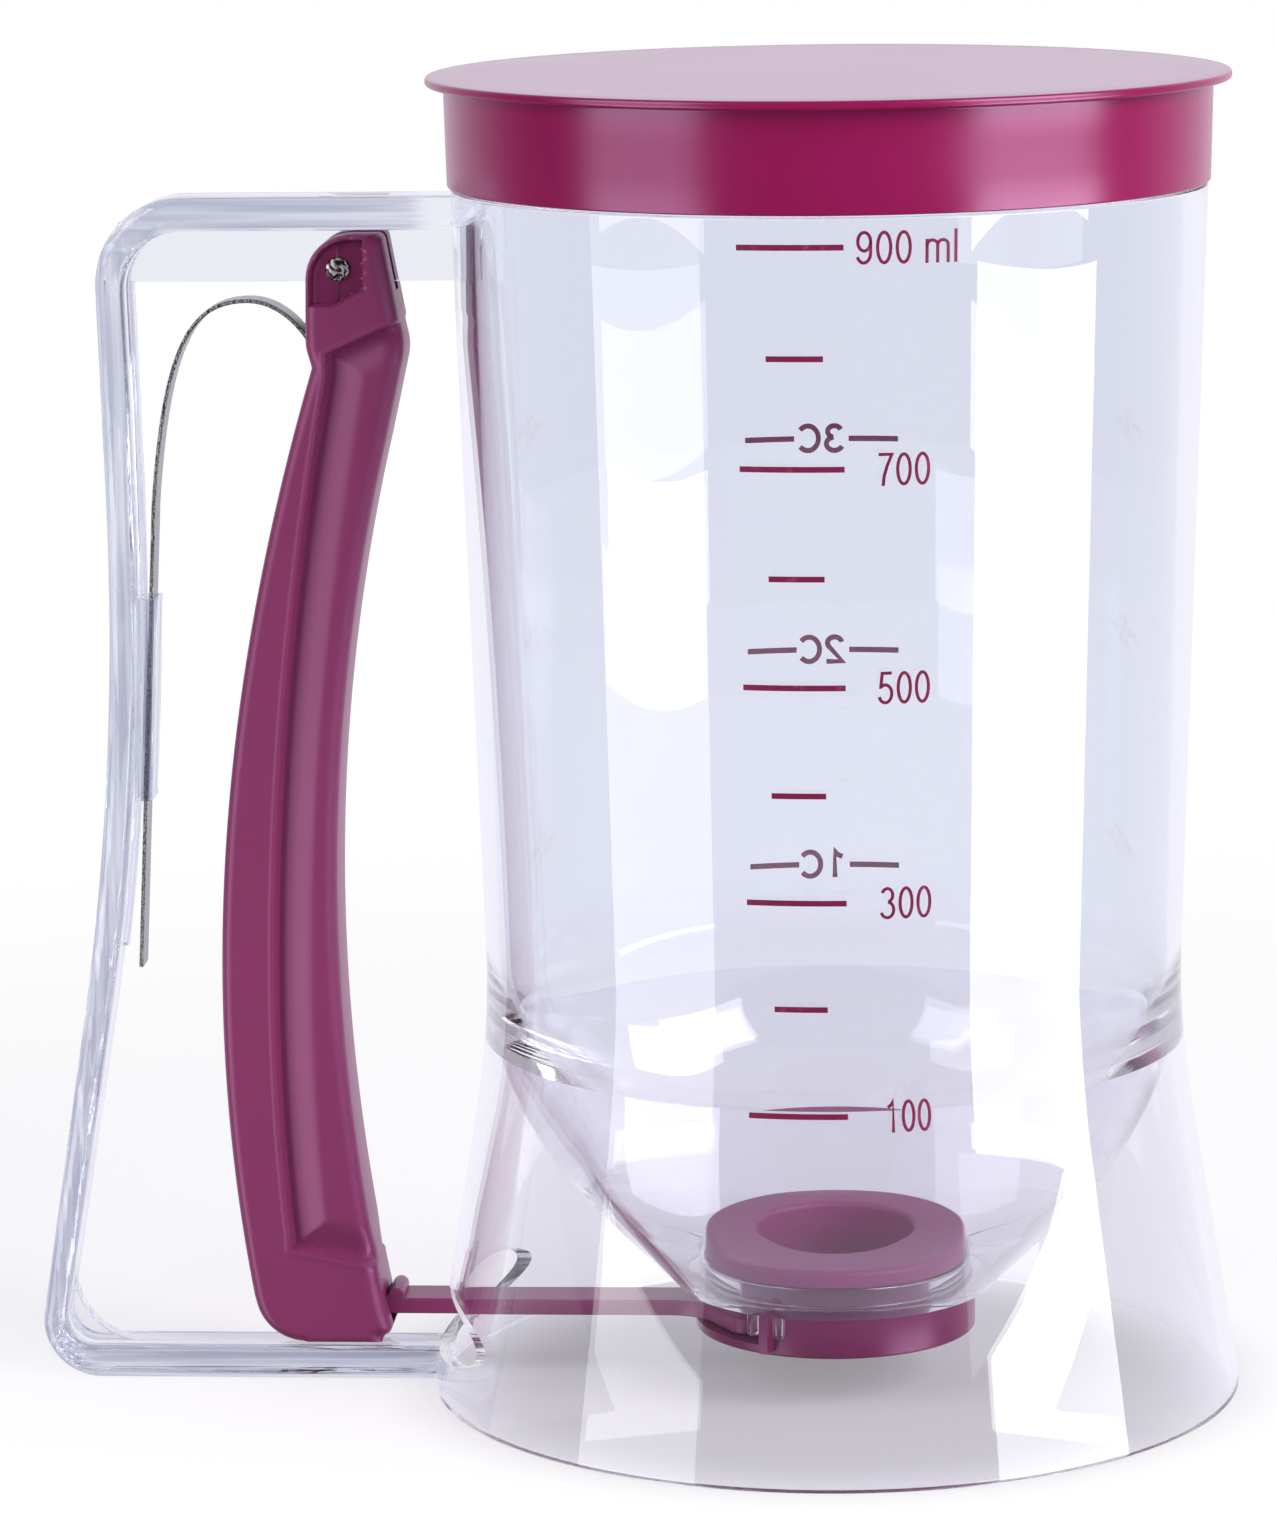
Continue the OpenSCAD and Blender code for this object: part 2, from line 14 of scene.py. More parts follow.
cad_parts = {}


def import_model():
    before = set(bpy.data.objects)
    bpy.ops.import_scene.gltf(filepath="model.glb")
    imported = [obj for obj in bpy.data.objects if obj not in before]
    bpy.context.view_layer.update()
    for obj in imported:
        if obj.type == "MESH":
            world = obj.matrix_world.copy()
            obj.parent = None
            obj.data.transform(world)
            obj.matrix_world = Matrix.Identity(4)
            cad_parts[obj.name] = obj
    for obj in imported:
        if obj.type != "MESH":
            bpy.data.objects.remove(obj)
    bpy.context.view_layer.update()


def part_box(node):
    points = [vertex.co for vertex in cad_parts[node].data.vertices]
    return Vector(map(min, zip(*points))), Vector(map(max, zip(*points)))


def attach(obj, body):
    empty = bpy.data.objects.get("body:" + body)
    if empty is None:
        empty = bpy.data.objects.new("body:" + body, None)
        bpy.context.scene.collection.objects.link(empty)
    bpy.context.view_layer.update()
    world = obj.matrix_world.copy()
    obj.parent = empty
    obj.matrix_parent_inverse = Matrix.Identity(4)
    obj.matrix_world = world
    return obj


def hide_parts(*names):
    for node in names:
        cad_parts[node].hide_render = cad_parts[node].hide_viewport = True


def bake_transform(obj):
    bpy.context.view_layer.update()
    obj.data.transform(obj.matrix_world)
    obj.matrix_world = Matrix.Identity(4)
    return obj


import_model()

MM = 0.001
AXIS = (0, 0)                              # the cup's axis in a plan
LATHE_SEGMENTS = 256
SHARP_ANGLE = math.radians(30)


def extent(node, axis):
    """Lowest and highest place of a solid of the frame along an axis, in millimetres"""
    low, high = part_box(node)
    return low[axis] / MM, high[axis] / MM


# ---- Sizes ----
# Cup
BASE_R = extent("base_skirt", 0)[1]
WAIST_R = 47.4
WAIST_Z = 50.6
WAIST_BLEND = 12.0
MOUTH_R = 50.9
SHOULDER_Z = 166.0
WALL = 2.0
RIM_WALL = 1.5
RIM_TOP = extent("cup_wall", 2)[1]
# Funnel and outlet
FLOOR_Z = 13.7
FLOOR_T = 2.3
FLOOR_TOP = FLOOR_Z + FLOOR_T
FLOOR_R = 21.5
FUNNEL_WALL = 2.2
CROTCH_Z = 49.0
UNDER_ROUND = 50.0
INNER_ROUND = 49.0
OUTLET_R = 11.0
# Lid
LID_R = extent("lid", 0)[1]
LID_LOW, LID_TOP = extent("lid", 2)
FLANGE_T = 1.2
LID_PLATE = 1.8
LID_WALL = 1.3
LID_SKIRT_R = MOUTH_R + 0.35
LID_DRAFT = 0.3
RIM_R = LID_SKIRT_R - LID_WALL - 0.35
# Handle
GRIP_TOP_S = 97.5
GRIP_BEND = (95.8, 87.4)
GRIP_FOOT_S = 110.0
GRIP_BEND_R = 400.0
CORNER_TOP_R = 10.0
CORNER_LOW_R = 6.0
BAR_DEPTH = 9.6
BAR_T = 4.6
LOOP_EDGE = 1.5
GRIP_T = 4.0
BAR_TOP = extent("handle_frame", 2)[1]
BAR_UNDER = BAR_TOP - BAR_T
WEB_T = 2.4
WEB_LOW = BAR_UNDER - 7.1
RIB_H = 0.9
RIB_END_Z = GRIP_BEND[1] - 27
GUSSET_R = 9.6
LUG_R = 4.2
# Trigger
PIVOT = (65.9, BAR_UNDER - 5.0)
TRIGGER_W = 14.0
CHEEK_T = 2.4
FINGER_WALL = 2.2
END_WALL = 1.8
SOLE_Z, HEAD_TOP = extent("trigger", 2)
PANEL_DEPTH = 1.9
RIDGE_STEP = 0.6
BELLY_H = 1.6                              # how far the panel's middle stands out again
BELLY_RUN = 6.0                            # from the panel's edge to its highest middle
PANEL_FOOT_SLOPE = 4.5 / 21.0
LIP_H = 0.12
FRONT_ROUND = 2.4
REAR_ROUND = 1.6
END_ROUND = 1.0
POCKET_DEPTH = 1.2
POCKET_FLOOR = TRIGGER_W / 2 - POCKET_DEPTH
POCKET_EDGE = 0.15
POCKET_RIM = 0.7
POCKET_SLANT = 0.3                         # share by which a pocket is deeper on the cup's side
STIFFENER_T = 1.2
STIFFENER_H = 3.0
WEB_ROOM = 1.2
ARM_ROOM = 1.5
PIN_R = 1.6
HUB_R = 3.9
# Spring
SPRING_W = 5.0
SPRING_T = 0.55
SPRING_EDGE = 0.12
LEG_DROP = 29.0                            # from the grip's bend down to the leg's foot
LEG_ROOM = 3.1                             # from the leg's foot to the grip
EYE_H = 28.0
EYE_TOP = GRIP_BEND[1] + 22.5
EYE_LOW = EYE_TOP - EYE_H
EYE_WALL = 0.4
# Gate and valve
GATE_Z = extent("gate_slider", 2)[0]
GATE_T = 2.2
GATE_TOP = GATE_Z + GATE_T
GATE_R = OUTLET_R + 2
ARM_W = 7.0
ARM_MID = GATE_Z + GATE_T / 2
BUMP_R = 1.1
HEAD_LAP = 0.8
HEAD_T = 2.0
HOUSING_R = 19.4
HOUSING_WALL = 2.2
HOUSING_LOW = extent("valve_housing", 2)[0]
SEAT_R = extent("seat_ring", 0)[1]
SEAT_TOP = extent("seat_ring", 2)[1]
SEAT_H = 2.5
BOSS_TOP = SEAT_TOP - SEAT_H
BOSS_R = SEAT_R + 0.6
NECK_R = OUTLET_R + 2.2
PEG_R = 0.85
PEG_H = 3.2
PEG_RING_R = FLOOR_R - PEG_R - 0.15
PEG_ANGLE = 59.0
PEG_SPREAD = 11.0
KEY_W = 1.3
WINDOW_HALF_W = 26.0
WINDOW_HALF_H = 4.8
WINDOW_MID = ARM_MID - 0.9
WINDOW_CUT = (-70.0, -30.0)                # from outside the skirt to inside it, along x
GAP = 0.3
SEAM = 0.05                                # between two mouldings that bear on each other
BEYOND = 20.0                              # how far a cutter runs past what it cuts
LONG_STEP = 8.0                            # longest straight stretch between two points of an outline
LEVER = PIVOT[1] - ARM_MID


# ---- Outlines ----
def rounded(points, steps=8):
    """Outline with each corner (u, v, radius) rounded. A radius of 0 keeps the corner sharp."""
    outline = []
    for i, (u, v, radius) in enumerate(points):
        corner = Vector((u, v))
        if radius == 0:
            outline.append(corner)
            continue
        to_last = (Vector(points[i - 1][:2]) - corner).normalized()
        to_next = (Vector(points[(i + 1) % len(points)][:2]) - corner).normalized()
        half = to_last.angle(to_next) / 2
        centre = corner + (to_last + to_next).normalized() * radius / math.sin(half)
        first = corner + to_last * radius / math.tan(half) - centre
        last = corner + to_next * radius / math.tan(half) - centre
        turn = math.atan2(first.cross(last), first.dot(last))
        for k in range(steps + 1):
            spun = Matrix.Rotation(turn * k / steps, 2) @ first
            outline.append(centre + spun)
    return outline


def bezier(a, b, c, d, steps=28):
    """Points along a cubic curve"""
    a, b, c, d = (Vector(p) for p in (a, b, c, d))
    return [a * (1 - t) ** 3 + b * 3 * t * (1 - t) ** 2 + c * 3 * t * t * (1 - t) + d * t ** 3
            for t in (k / steps for k in range(steps + 1))]


def split_long(path, longest):
    """A path whose long straight stretches have points no further apart than the longest step"""
    result = [path[0]]
    for a, b in zip(path, path[1:]):
        pieces = max(1, math.ceil((b - a).length / longest))
        result += [a.lerp(b, k / pieces) for k in range(1, pieces + 1)]
    return result


def moved(path, du):
    """A path shifted sideways"""
    return [p + Vector((du, 0)) for p in path]


def arc(centre, radius, start, end, steps):
    """Points of an arc, with its angles in degrees"""
    return [Vector((centre[0] + radius * math.cos(math.radians(a)),
                    centre[1] + radius * math.sin(math.radians(a))))
            for a in np.linspace(start, end, steps + 1)]


def circle(centre, radius, steps=120):
    """The outline of a whole circle"""
    return arc(centre, radius, 0, 360 - 360 / steps, steps - 1)


def inset(outline, distance):
    """A closed outline moved inwards. Its points run anticlockwise."""
    result = []
    for i, p in enumerate(outline):
        to_here = (p - outline[i - 1]).normalized()
        onward = (outline[(i + 1) % len(outline)] - p).normalized()
        normal = Vector((-to_here.y - onward.y, to_here.x + onward.x)).normalized()
        slant = max(0.35, normal.dot(Vector((-onward.y, onward.x))))
        result.append(p + normal * distance / slant)
    return result


def anticlockwise(outline):
    """An outline turned round if it runs clockwise"""
    area = sum(a.cross(b) for a, b in zip(outline, outline[1:] + outline[:1]))
    return outline if area > 0 else outline[::-1]


def box_outline(low_u, low_v, high_u, high_v):
    """The four corners of a rectangle, anticlockwise"""
    return [Vector(p) for p in ((low_u, low_v), (high_u, low_v), (high_u, high_v), (low_u, high_v))]


# ---- Meshes ----
def add_object(name, data):
    """A new object of the scene with this mesh, curve, lamp or camera"""
    item = bpy.data.objects.new(name, data)
    bpy.context.scene.collection.objects.link(item)
    return item


def side(u, v, h):
    """Places a point of a side view at a distance h from the handle's plane."""
    return (-u * MM, h * MM, v * MM)


def plan(u, v, h):
    """Places a point of a plan at a height h."""
    return (u * MM, v * MM, h * MM)


def mesh_object(name, points, faces):
    """A piece from points and faces, with its doubles merged and its faces turned outwards"""
    mesh = bpy.data.meshes.new(name)
    mesh.from_pydata(points, [], faces)
    shaped = bmesh.new()
    shaped.from_mesh(mesh)
    bmesh.ops.remove_doubles(shaped, verts=shaped.verts, dist=1e-7)
    bmesh.ops.recalc_face_normals(shaped, faces=shaped.faces)
    shaped.to_mesh(mesh)
    shaped.free()
    return add_object(name, mesh)


def closed_rows(rows):
    """Faces between rows of points that each run round in a ring"""
    return [(i * rows[1] + k, i * rows[1] + (k + 1) % rows[1],
             (i + 1) * rows[1] + (k + 1) % rows[1], (i + 1) * rows[1] + k)
            for i in range(rows[0] - 1) for k in range(rows[1])]


def prism(name, outline, low, high, edge=0.0, place=side, steps=4):
    """An outline extruded from low to high, with its long edges rounded by the edge radius"""
    outline = anticlockwise(outline)
    rings = [(0.0, low), (0.0, high)]
    if edge:
        turns = [math.radians(90 * k / steps) for k in range(steps + 1)]
        upper = [(edge * (1 - math.cos(a)), high - edge + edge * math.sin(a)) for a in turns]
        lower = [(d, low + high - h) for d, h in upper]
        support = edge + 0.1
        rings = [(support, low)] + lower[::-1] + upper + [(support, high)]
    points = [place(p.x, p.y, h) for d, h in rings for p in (inset(outline, d) if d else outline)]
    count = len(outline)
    faces = closed_rows((len(rings), count))
    faces += [tuple(range(count)), tuple(range(len(points) - count, len(points)))]
    piece = mesh_object(name, points, faces)
    flat = bmesh.new()
    flat.from_mesh(piece.data)
    bmesh.ops.triangulate(flat, faces=[f for f in flat.faces if len(f.verts) > 4])
    flat.to_mesh(piece.data)
    flat.free()
    return piece


def lathe(name, profile, segments=LATHE_SEGMENTS):
    """A closed profile of (radius, height) turned about the z axis"""
    points = []
    faces = []
    rings = []
    for r, z in profile:
        first = len(points)
        if r < 1e-6:
            points.append(plan(0, 0, z))
            rings.append([first] * segments)
            continue
        for k in range(segments):
            angle = 2 * math.pi * k / segments
            points.append(plan(r * math.cos(angle), r * math.sin(angle), z))
        rings.append(list(range(first, first + segments)))
    for a, b in zip(rings, rings[1:] + rings[:1]):
        for k in range(segments):
            corners = (a[k], a[(k + 1) % segments], b[(k + 1) % segments], b[k])
            face = tuple(dict.fromkeys(corners))
            if len(face) > 2:
                faces.append(face)
    return mesh_object(name, points, faces)


def combine(base, other, operation):
    """Joins the other piece to the base, or cuts it out, and uses the other piece up."""
    modifier = base.modifiers.new("solid", "BOOLEAN")
    modifier.operation = operation
    modifier.solver = "MANIFOLD"
    modifier.object = other
    base.data = modified_mesh(base)
    bpy.data.objects.remove(other)
    return base


def modified_mesh(piece):
    """The plain mesh that a piece's modifiers make of it. The modifiers are removed."""
    graph = bpy.context.evaluated_depsgraph_get()
    graph.update()
    mesh = bpy.data.meshes.new_from_object(piece.evaluated_get(graph))
    piece.modifiers.clear()
    return mesh


def join(base, *others):
    """Joins other pieces to a base one and uses them up."""
    for other in others:
        combine(base, other, "UNION")
    return base


def cut(base, *others):
    """Cuts other pieces out of a base one and uses them up."""
    for other in others:
        combine(base, other, "DIFFERENCE")
    return base


def finish_piece(piece, material, body, slot, *nodes):
    """Smooths and paints a piece, hangs it on what it rides on and hides the solids it stands for."""
    piece.data.materials.clear()
    piece.data.materials.append(material)
    piece.data.shade_smooth()
    piece.data.set_sharp_from_angle(angle=SHARP_ANGLE)
    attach(piece, body)
    if nodes:
        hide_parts(*nodes)
    return piece


def find_socket(sockets, name):
    """The socket of a node with that name, written with _ for a space"""
    return sockets[name.replace("_", " ")]


# ---- Geometry nodes ----
class Recipe:
    """A geometry node group under construction, with named inputs"""

    def __init__(self, name, **inputs):
        self.group = bpy.data.node_groups.new(name, "GeometryNodeTree")
        self.group.interface.new_socket("Geometry", in_out="INPUT", socket_type="NodeSocketGeometry")
        for label, kind in inputs.items():
            self.group.interface.new_socket(label, in_out="INPUT", socket_type="NodeSocket" + kind)
        self.group.interface.new_socket("Geometry", in_out="OUTPUT", socket_type="NodeSocketGeometry")
        self.given = self.group.nodes.new("NodeGroupInput")

    def wanted(self, label):
        """An input of the group"""
        return self.given.outputs[label]

    def add(self, kind, settings=None, **sockets):
        """A node of a type, its settings, then values or links for its sockets by name"""
        node = self.group.nodes.new(kind)
        for name, value in (settings or {}).items():
            setattr(node, name, value)
        for name, value in sockets.items():
            socket = find_socket(node.inputs, name)
            if hasattr(value, "is_output"):
                self.group.links.new(value, socket)
            else:
                socket.default_value = value
        return node.outputs[0]

    def maths(self, operation, a, b):
        """The result of an operation on two numbers or links"""
        node = self.group.nodes.new("ShaderNodeMath")
        node.operation = operation
        for socket, value in zip(node.inputs, (a, b)):
            if hasattr(value, "is_output"):
                self.group.links.new(value, socket)
            else:
                socket.default_value = value
        return node.outputs[0]

    def finish(self, shape):
        """Ends the group with real geometry that carries the paint"""
        whole = self.add("GeometryNodeRealizeInstances", Geometry=shape)
        painted = self.add("GeometryNodeSetMaterial", Geometry=whole, Material=self.wanted("Paint"))
        end = self.group.nodes.new("NodeGroupOutput")
        self.group.links.new(painted, end.inputs[0])
        return self.group


def grown(start, name, group, **values):
    """The piece that a geometry node group makes from an object, which is used up"""
    modifier = start.modifiers.new("recipe", "NODES")
    modifier.node_group = group
    for item in group.interface.items_tree:
        if item.name in values and item.in_out == "INPUT":
            modifier[item.identifier] = values[item.name]
    start.update_tag()
    mesh = modified_mesh(start)
    bpy.data.objects.remove(start)
    return add_object(name, mesh)


def strip_sweep():
    """Sweeps a rectangle with rounded edges along a curve."""
    recipe = Recipe("strip_sweep", Width="Float", Thickness="Float", Edge="Float", Paint="Material")
    section = recipe.add("GeometryNodeCurvePrimitiveQuadrilateral", Width=recipe.wanted("Width"),
                         Height=recipe.wanted("Thickness"))
    section = recipe.add("GeometryNodeFilletCurve", Curve=section, Radius=recipe.wanted("Edge"))
    section = recipe.add("GeometryNodeResampleCurve", {"mode": "EVALUATED"}, Curve=section)
    return recipe.finish(recipe.add("GeometryNodeCurveToMesh", Curve=recipe.wanted("Geometry"),
                                    Profile_Curve=section, Fill_Caps=True))


def ruled_lines():
    """A column of flat bars, every second one shorter and shifted along its length"""
    recipe = Recipe("ruled_lines", Count="Int", Pitch="Float", Length="Float", Short_Share="Float",
                    Short_Shift="Float", Stroke="Float", Depth="Float", Paint="Material")
    step = recipe.add("ShaderNodeCombineXYZ", Y=recipe.wanted("Pitch"))
    column = recipe.add("GeometryNodeMeshLine", Count=recipe.wanted("Count"), Offset=step)
    size = recipe.add("ShaderNodeCombineXYZ", X=recipe.wanted("Length"), Y=recipe.wanted("Stroke"),
                      Z=recipe.wanted("Depth"))
    bar = recipe.add("GeometryNodeMeshCube", Size=size, Vertices_X=14)
    odd = recipe.maths("MODULO", recipe.add("GeometryNodeInputIndex"), 2.0)
    shorter = recipe.maths("SUBTRACT", 1.0, recipe.wanted("Short_Share"))
    share = recipe.maths("SUBTRACT", 1.0, recipe.maths("MULTIPLY", odd, shorter))
    shift = recipe.maths("MULTIPLY", odd, recipe.wanted("Short_Shift"))
    column = recipe.add("GeometryNodeSetPosition", Geometry=column,
                        Offset=recipe.add("ShaderNodeCombineXYZ", X=shift))
    bars = recipe.add("GeometryNodeInstanceOnPoints", Points=column, Instance=bar,
                      Scale=recipe.add("ShaderNodeCombineXYZ", X=share, Y=1.0, Z=1.0))
    return recipe.finish(bars)


# ---- Shader expressions ----
class Wire:
    """An output socket that can be used in sums, which add Math nodes"""

    def __init__(self, tree, socket):
        self.tree = tree
        self.socket = socket

    def __add__(self, other):
        return self.tree.maths("ADD", self, other)

    def __sub__(self, other):
        return self.tree.maths("SUBTRACT", self, other)

    def __rsub__(self, other):
        return self.tree.maths("SUBTRACT", other, self)

    def __mul__(self, other):
        return self.tree.maths("MULTIPLY", self, other)

    __radd__ = __add__
    __rmul__ = __mul__


class Shader:
    """A material's or world's node tree under construction"""

    def __init__(self, owner):
        owner.use_nodes = True
        self.nodes = owner.node_tree.nodes
        self.links = owner.node_tree.links
        self.nodes.clear()

    def add(self, kind, settings=None, **sockets):
        """A node of a type, its settings, then values or links for its sockets by name"""
        node = self.nodes.new(kind)
        for name, value in (settings or {}).items():
            setattr(node, name, value)
        for name, value in sockets.items():
            self.feed(find_socket(node.inputs, name), value)
        return node

    def feed(self, socket, value):
        """Links a wire or a node's first output to a socket, or gives it a plain value."""
        if isinstance(value, Wire):
            self.links.new(value.socket, socket)
        elif hasattr(value, "outputs"):
            self.links.new(value.outputs[0], socket)
        else:
            socket.default_value = value

    def out(self, node, name):
        """A node's output as a wire"""
        return Wire(self, node.outputs[name])

    def maths(self, operation, a, b=None):
        """The result of an operation on one or two wires or numbers"""
        node = self.nodes.new("ShaderNodeMath")
        node.operation = operation
        self.feed(node.inputs[0], a)
        if b is not None:
            self.feed(node.inputs[1], b)
        return Wire(self, node.outputs[0])

    def blend(self, share, first, second):
        """A colour between two colours"""
        node = self.nodes.new("ShaderNodeMix")
        node.data_type = "RGBA"
        self.feed(node.inputs["Factor"], share)
        self.feed(node.inputs[6], first)
        self.feed(node.inputs[7], second)
        return Wire(self, node.outputs[2])

    def noise(self, scale, detail=2.0, stretch=(1, 1, 1)):
        """Noise over the piece's own coordinates, which are metres"""
        place = self.out(self.add("ShaderNodeTexCoord"), "Object")
        placed = self.add("ShaderNodeMapping", Vector=place, Scale=stretch)
        node = self.add("ShaderNodeTexNoise", Vector=placed, Scale=scale, Detail=detail)
        return self.out(node, "Fac" if "Fac" in node.outputs else "Factor")

    def place(self):
        """The piece's own x, y and z, in metres"""
        place = self.out(self.add("ShaderNodeTexCoord"), "Object")
        axes = self.add("ShaderNodeSeparateXYZ", Vector=place)
        return [self.out(axes, name) for name in "XYZ"]

    def range(self, value, low, high, to_low=0.0, to_high=1.0):
        """A value carried smoothly from one range to another"""
        node = self.add("ShaderNodeMapRange", {"interpolation_type": "SMOOTHSTEP"}, Value=value,
                        From_Min=low, From_Max=high, To_Min=to_low, To_Max=to_high)
        return self.out(node, "Result")


def tone(red, green, blue):
    """An opaque colour in linear light"""
    return (red, green, blue, 1.0)


def new_material(name):
    """A material and the shader that writes its nodes"""
    material = bpy.data.materials.new(name)
    return material, Shader(material)


# ---- Materials ----
PLASTIC_IOR = 1.5


def in_loop(shader):
    """1 on the thick bars of the handle, whose plastic is deeper in tone, and 0 elsewhere"""
    x, y, _ = shader.place()
    beyond_cup = shader.range(x, -(BASE_R + 1) * MM, -(MOUTH_R + 3) * MM, 1.0, 0.0)
    off_web = shader.range(shader.maths("ABSOLUTE", y), WEB_T * MM, 1.3 * WEB_T * MM)
    return beyond_cup * off_web


def flow_lines(shader):
    """Fine lines that run along the handle's bars: level in the two bars and upright in the grip"""
    height = shader.place()[2]
    in_bars = shader.maths("MAXIMUM", shader.range(height, BAR_T * MM, 2 * BAR_T * MM, 1.0, 0.0),
                           shader.range(height, (BAR_UNDER - BAR_T) * MM, BAR_UNDER * MM))
    upright = shader.noise(800.0, 1.0, (1, 1, 0.03))
    level = shader.noise(800.0, 1.0, (0.03, 1, 1))
    return upright + in_bars * (level - upright)


def clear_plastic():
    """Clear styrene with a faint lilac tint, deeper and lined along the handle. Lamps shine through
    it, so that it throws a pale shadow."""
    material, shader = new_material("clear_plastic")
    height = shader.place()[2]
    cloud = shader.noise(14.0, stretch=(1, 1, 0.3))
    cup_tint = shader.blend(cloud, tone(0.865, 0.88, 0.955), tone(0.89, 0.902, 0.97))
    above_crotch = shader.range(height, (CROTCH_Z - 6) * MM, (CROTCH_Z + 12) * MM)
    wall_tint = shader.blend(above_crotch, tone(0.935, 0.93, 0.972), cup_tint)
    loop = in_loop(shader)
    lines = shader.range(flow_lines(shader), 0.35, 0.6)
    loop_tint = shader.blend(lines, tone(0.77, 0.79, 0.88), tone(0.47, 0.49, 0.63))
    tint = shader.blend(loop, wall_tint, loop_tint)
    haze = shader.range(shader.noise(60.0), 0.45, 0.75, 0.0, 0.03)
    slow = shader.add("ShaderNodeBump", Height=shader.noise(22.0, 1.0, (1, 1, 0.25)),
                      Strength=0.06, Distance=0.002)
    flow = shader.add("ShaderNodeBump", Height=lines * loop, Normal=slow, Strength=0.25, Distance=0.0003)
    glass = shader.add("ShaderNodeBsdfPrincipled", Base_Color=tint, Roughness=haze, IOR=PLASTIC_IOR,
                       Transmission_Weight=1.0, Normal=flow)
    passing = shader.add("ShaderNodeBsdfTransparent", Color=tone(0.93, 0.92, 0.955))
    path = shader.add("ShaderNodeLightPath")
    lit_through = shader.maths("MAXIMUM", shader.out(path, "Is Shadow Ray"),
                               shader.out(path, "Is Diffuse Ray"))
    mixed = shader.add("ShaderNodeMixShader", Fac=lit_through)
    shader.feed(mixed.inputs[1], glass)
    shader.feed(mixed.inputs[2], passing)
    shader.add("ShaderNodeOutputMaterial", Surface=mixed)
    return material


def moulded(name, colour, deep, roughness, grain, gloss=0.5, polish=0.0):
    """Burgundy moulding: a slight colour drift, a fine spark-eroded grain and a lilac gloss. The
    trigger's pockets get painted shade, a darker colour over their floors, and the polish is a smooth
    skin on the lid's top alone."""
    material, shader = new_material(name)
    drift = shader.range(shader.noise(12.0, 2.0), 0.3, 0.7)
    plain = shader.blend(drift, colour, deep)
    y, z = shader.place()[1:]
    # Painted shade: the base colour darkens over the floor of the trigger's pocket round the pin, below
    # the lid
    pocket_shade = shader.range(shader.maths("ABSOLUTE", y), (POCKET_FLOOR + 0.1) * MM,
                        (POCKET_FLOOR + 0.4) * MM, 1.0, 0.0)
    high_up = shader.range(z, (PIVOT[1] - 6.5) * MM, (PIVOT[1] - 5.5) * MM, 0.0, 0.75)
    below_lid = shader.range(z, (HEAD_TOP - 1) * MM, HEAD_TOP * MM, 1.0, 0.0)
    base = shader.blend(pocket_shade * high_up * below_lid, plain, tone(0.15, 0.01, 0.06))
    fine = shader.noise(2600.0, 3.0)
    rough = shader.range(shader.noise(25.0, 2.0), 0.3, 0.7, roughness - 0.01, roughness + 0.01)
    bump = shader.add("ShaderNodeBump", Height=fine, Strength=grain, Distance=0.0001)
    skin = shader.range(z, (LID_TOP - 0.3) * MM, (LID_TOP - 0.1) * MM, 0.0, polish)
    surface = shader.add("ShaderNodeBsdfPrincipled", Base_Color=base, Roughness=rough, Normal=bump,
                         IOR=PLASTIC_IOR, Specular_IOR_Level=gloss,
                         Specular_Tint=tone(0.85, 0.66, 1.0), Coat_Weight=skin, Coat_Roughness=0.12)
    shader.add("ShaderNodeOutputMaterial", Surface=surface)
    return material


def strip_steel():
    """Rolled spring strip: streaks along its length, a fine grain and darker, blanked edges"""
    material, shader = new_material("spring_steel")
    streaks = shader.noise(900.0, 3.0, (1, 4, 0.06))
    across = shader.maths("ABSOLUTE", shader.place()[1])
    on_edge = shader.range(across, (SPRING_W / 2 - 0.2) * MM, (SPRING_W / 2 - 0.1) * MM)
    specks = shader.range(shader.noise(2800.0, 2.0), 0.35, 0.65) * (0.4 + 0.45 * on_edge)
    base = shader.blend(streaks, tone(0.40, 0.40, 0.41), tone(0.56, 0.56, 0.56))
    worn = shader.blend(specks, base, tone(0.12, 0.12, 0.11))
    rough = shader.range(streaks, 0.3, 0.7, 0.28, 0.45)
    bump = shader.add("ShaderNodeBump", Height=specks, Strength=0.3, Distance=0.0002)
    surface = shader.add("ShaderNodeBsdfPrincipled", Base_Color=worn, Metallic=1.0, Roughness=rough,
                         Normal=bump)
    shader.add("ShaderNodeOutputMaterial", Surface=surface)
    return material


def cropped_steel():
    """Bright wire with torn, uneven cropped ends"""
    material, shader = new_material("pin_steel")
    torn = shader.range(shader.noise(1500.0, 3.0), 0.4, 0.6)
    base = shader.blend(torn, tone(0.06, 0.06, 0.065), tone(0.8, 0.8, 0.8))
    bump = shader.add("ShaderNodeBump", Height=torn, Strength=0.8, Distance=0.0006)
    surface = shader.add("ShaderNodeBsdfPrincipled", Base_Color=base, Metallic=1.0,
                         Roughness=shader.range(torn, 0.3, 0.7, 0.2, 0.45), Normal=bump)
    shader.add("ShaderNodeOutputMaterial", Surface=surface)
    return material


def printed_ink():
    """Screen-printed ink, a little thin in places"""
    material, shader = new_material("scale_ink")
    thin = shader.range(shader.noise(700.0, 3.0), 0.55, 0.75)
    base = shader.blend(thin, tone(0.19, 0.006, 0.055), tone(0.27, 0.03, 0.10))
    surface = shader.add("ShaderNodeBsdfPrincipled", Base_Color=base,
                         Roughness=shader.range(thin, 0.0, 1.0, 0.4, 0.6))
    shader.add("ShaderNodeOutputMaterial", Surface=surface)
    return material


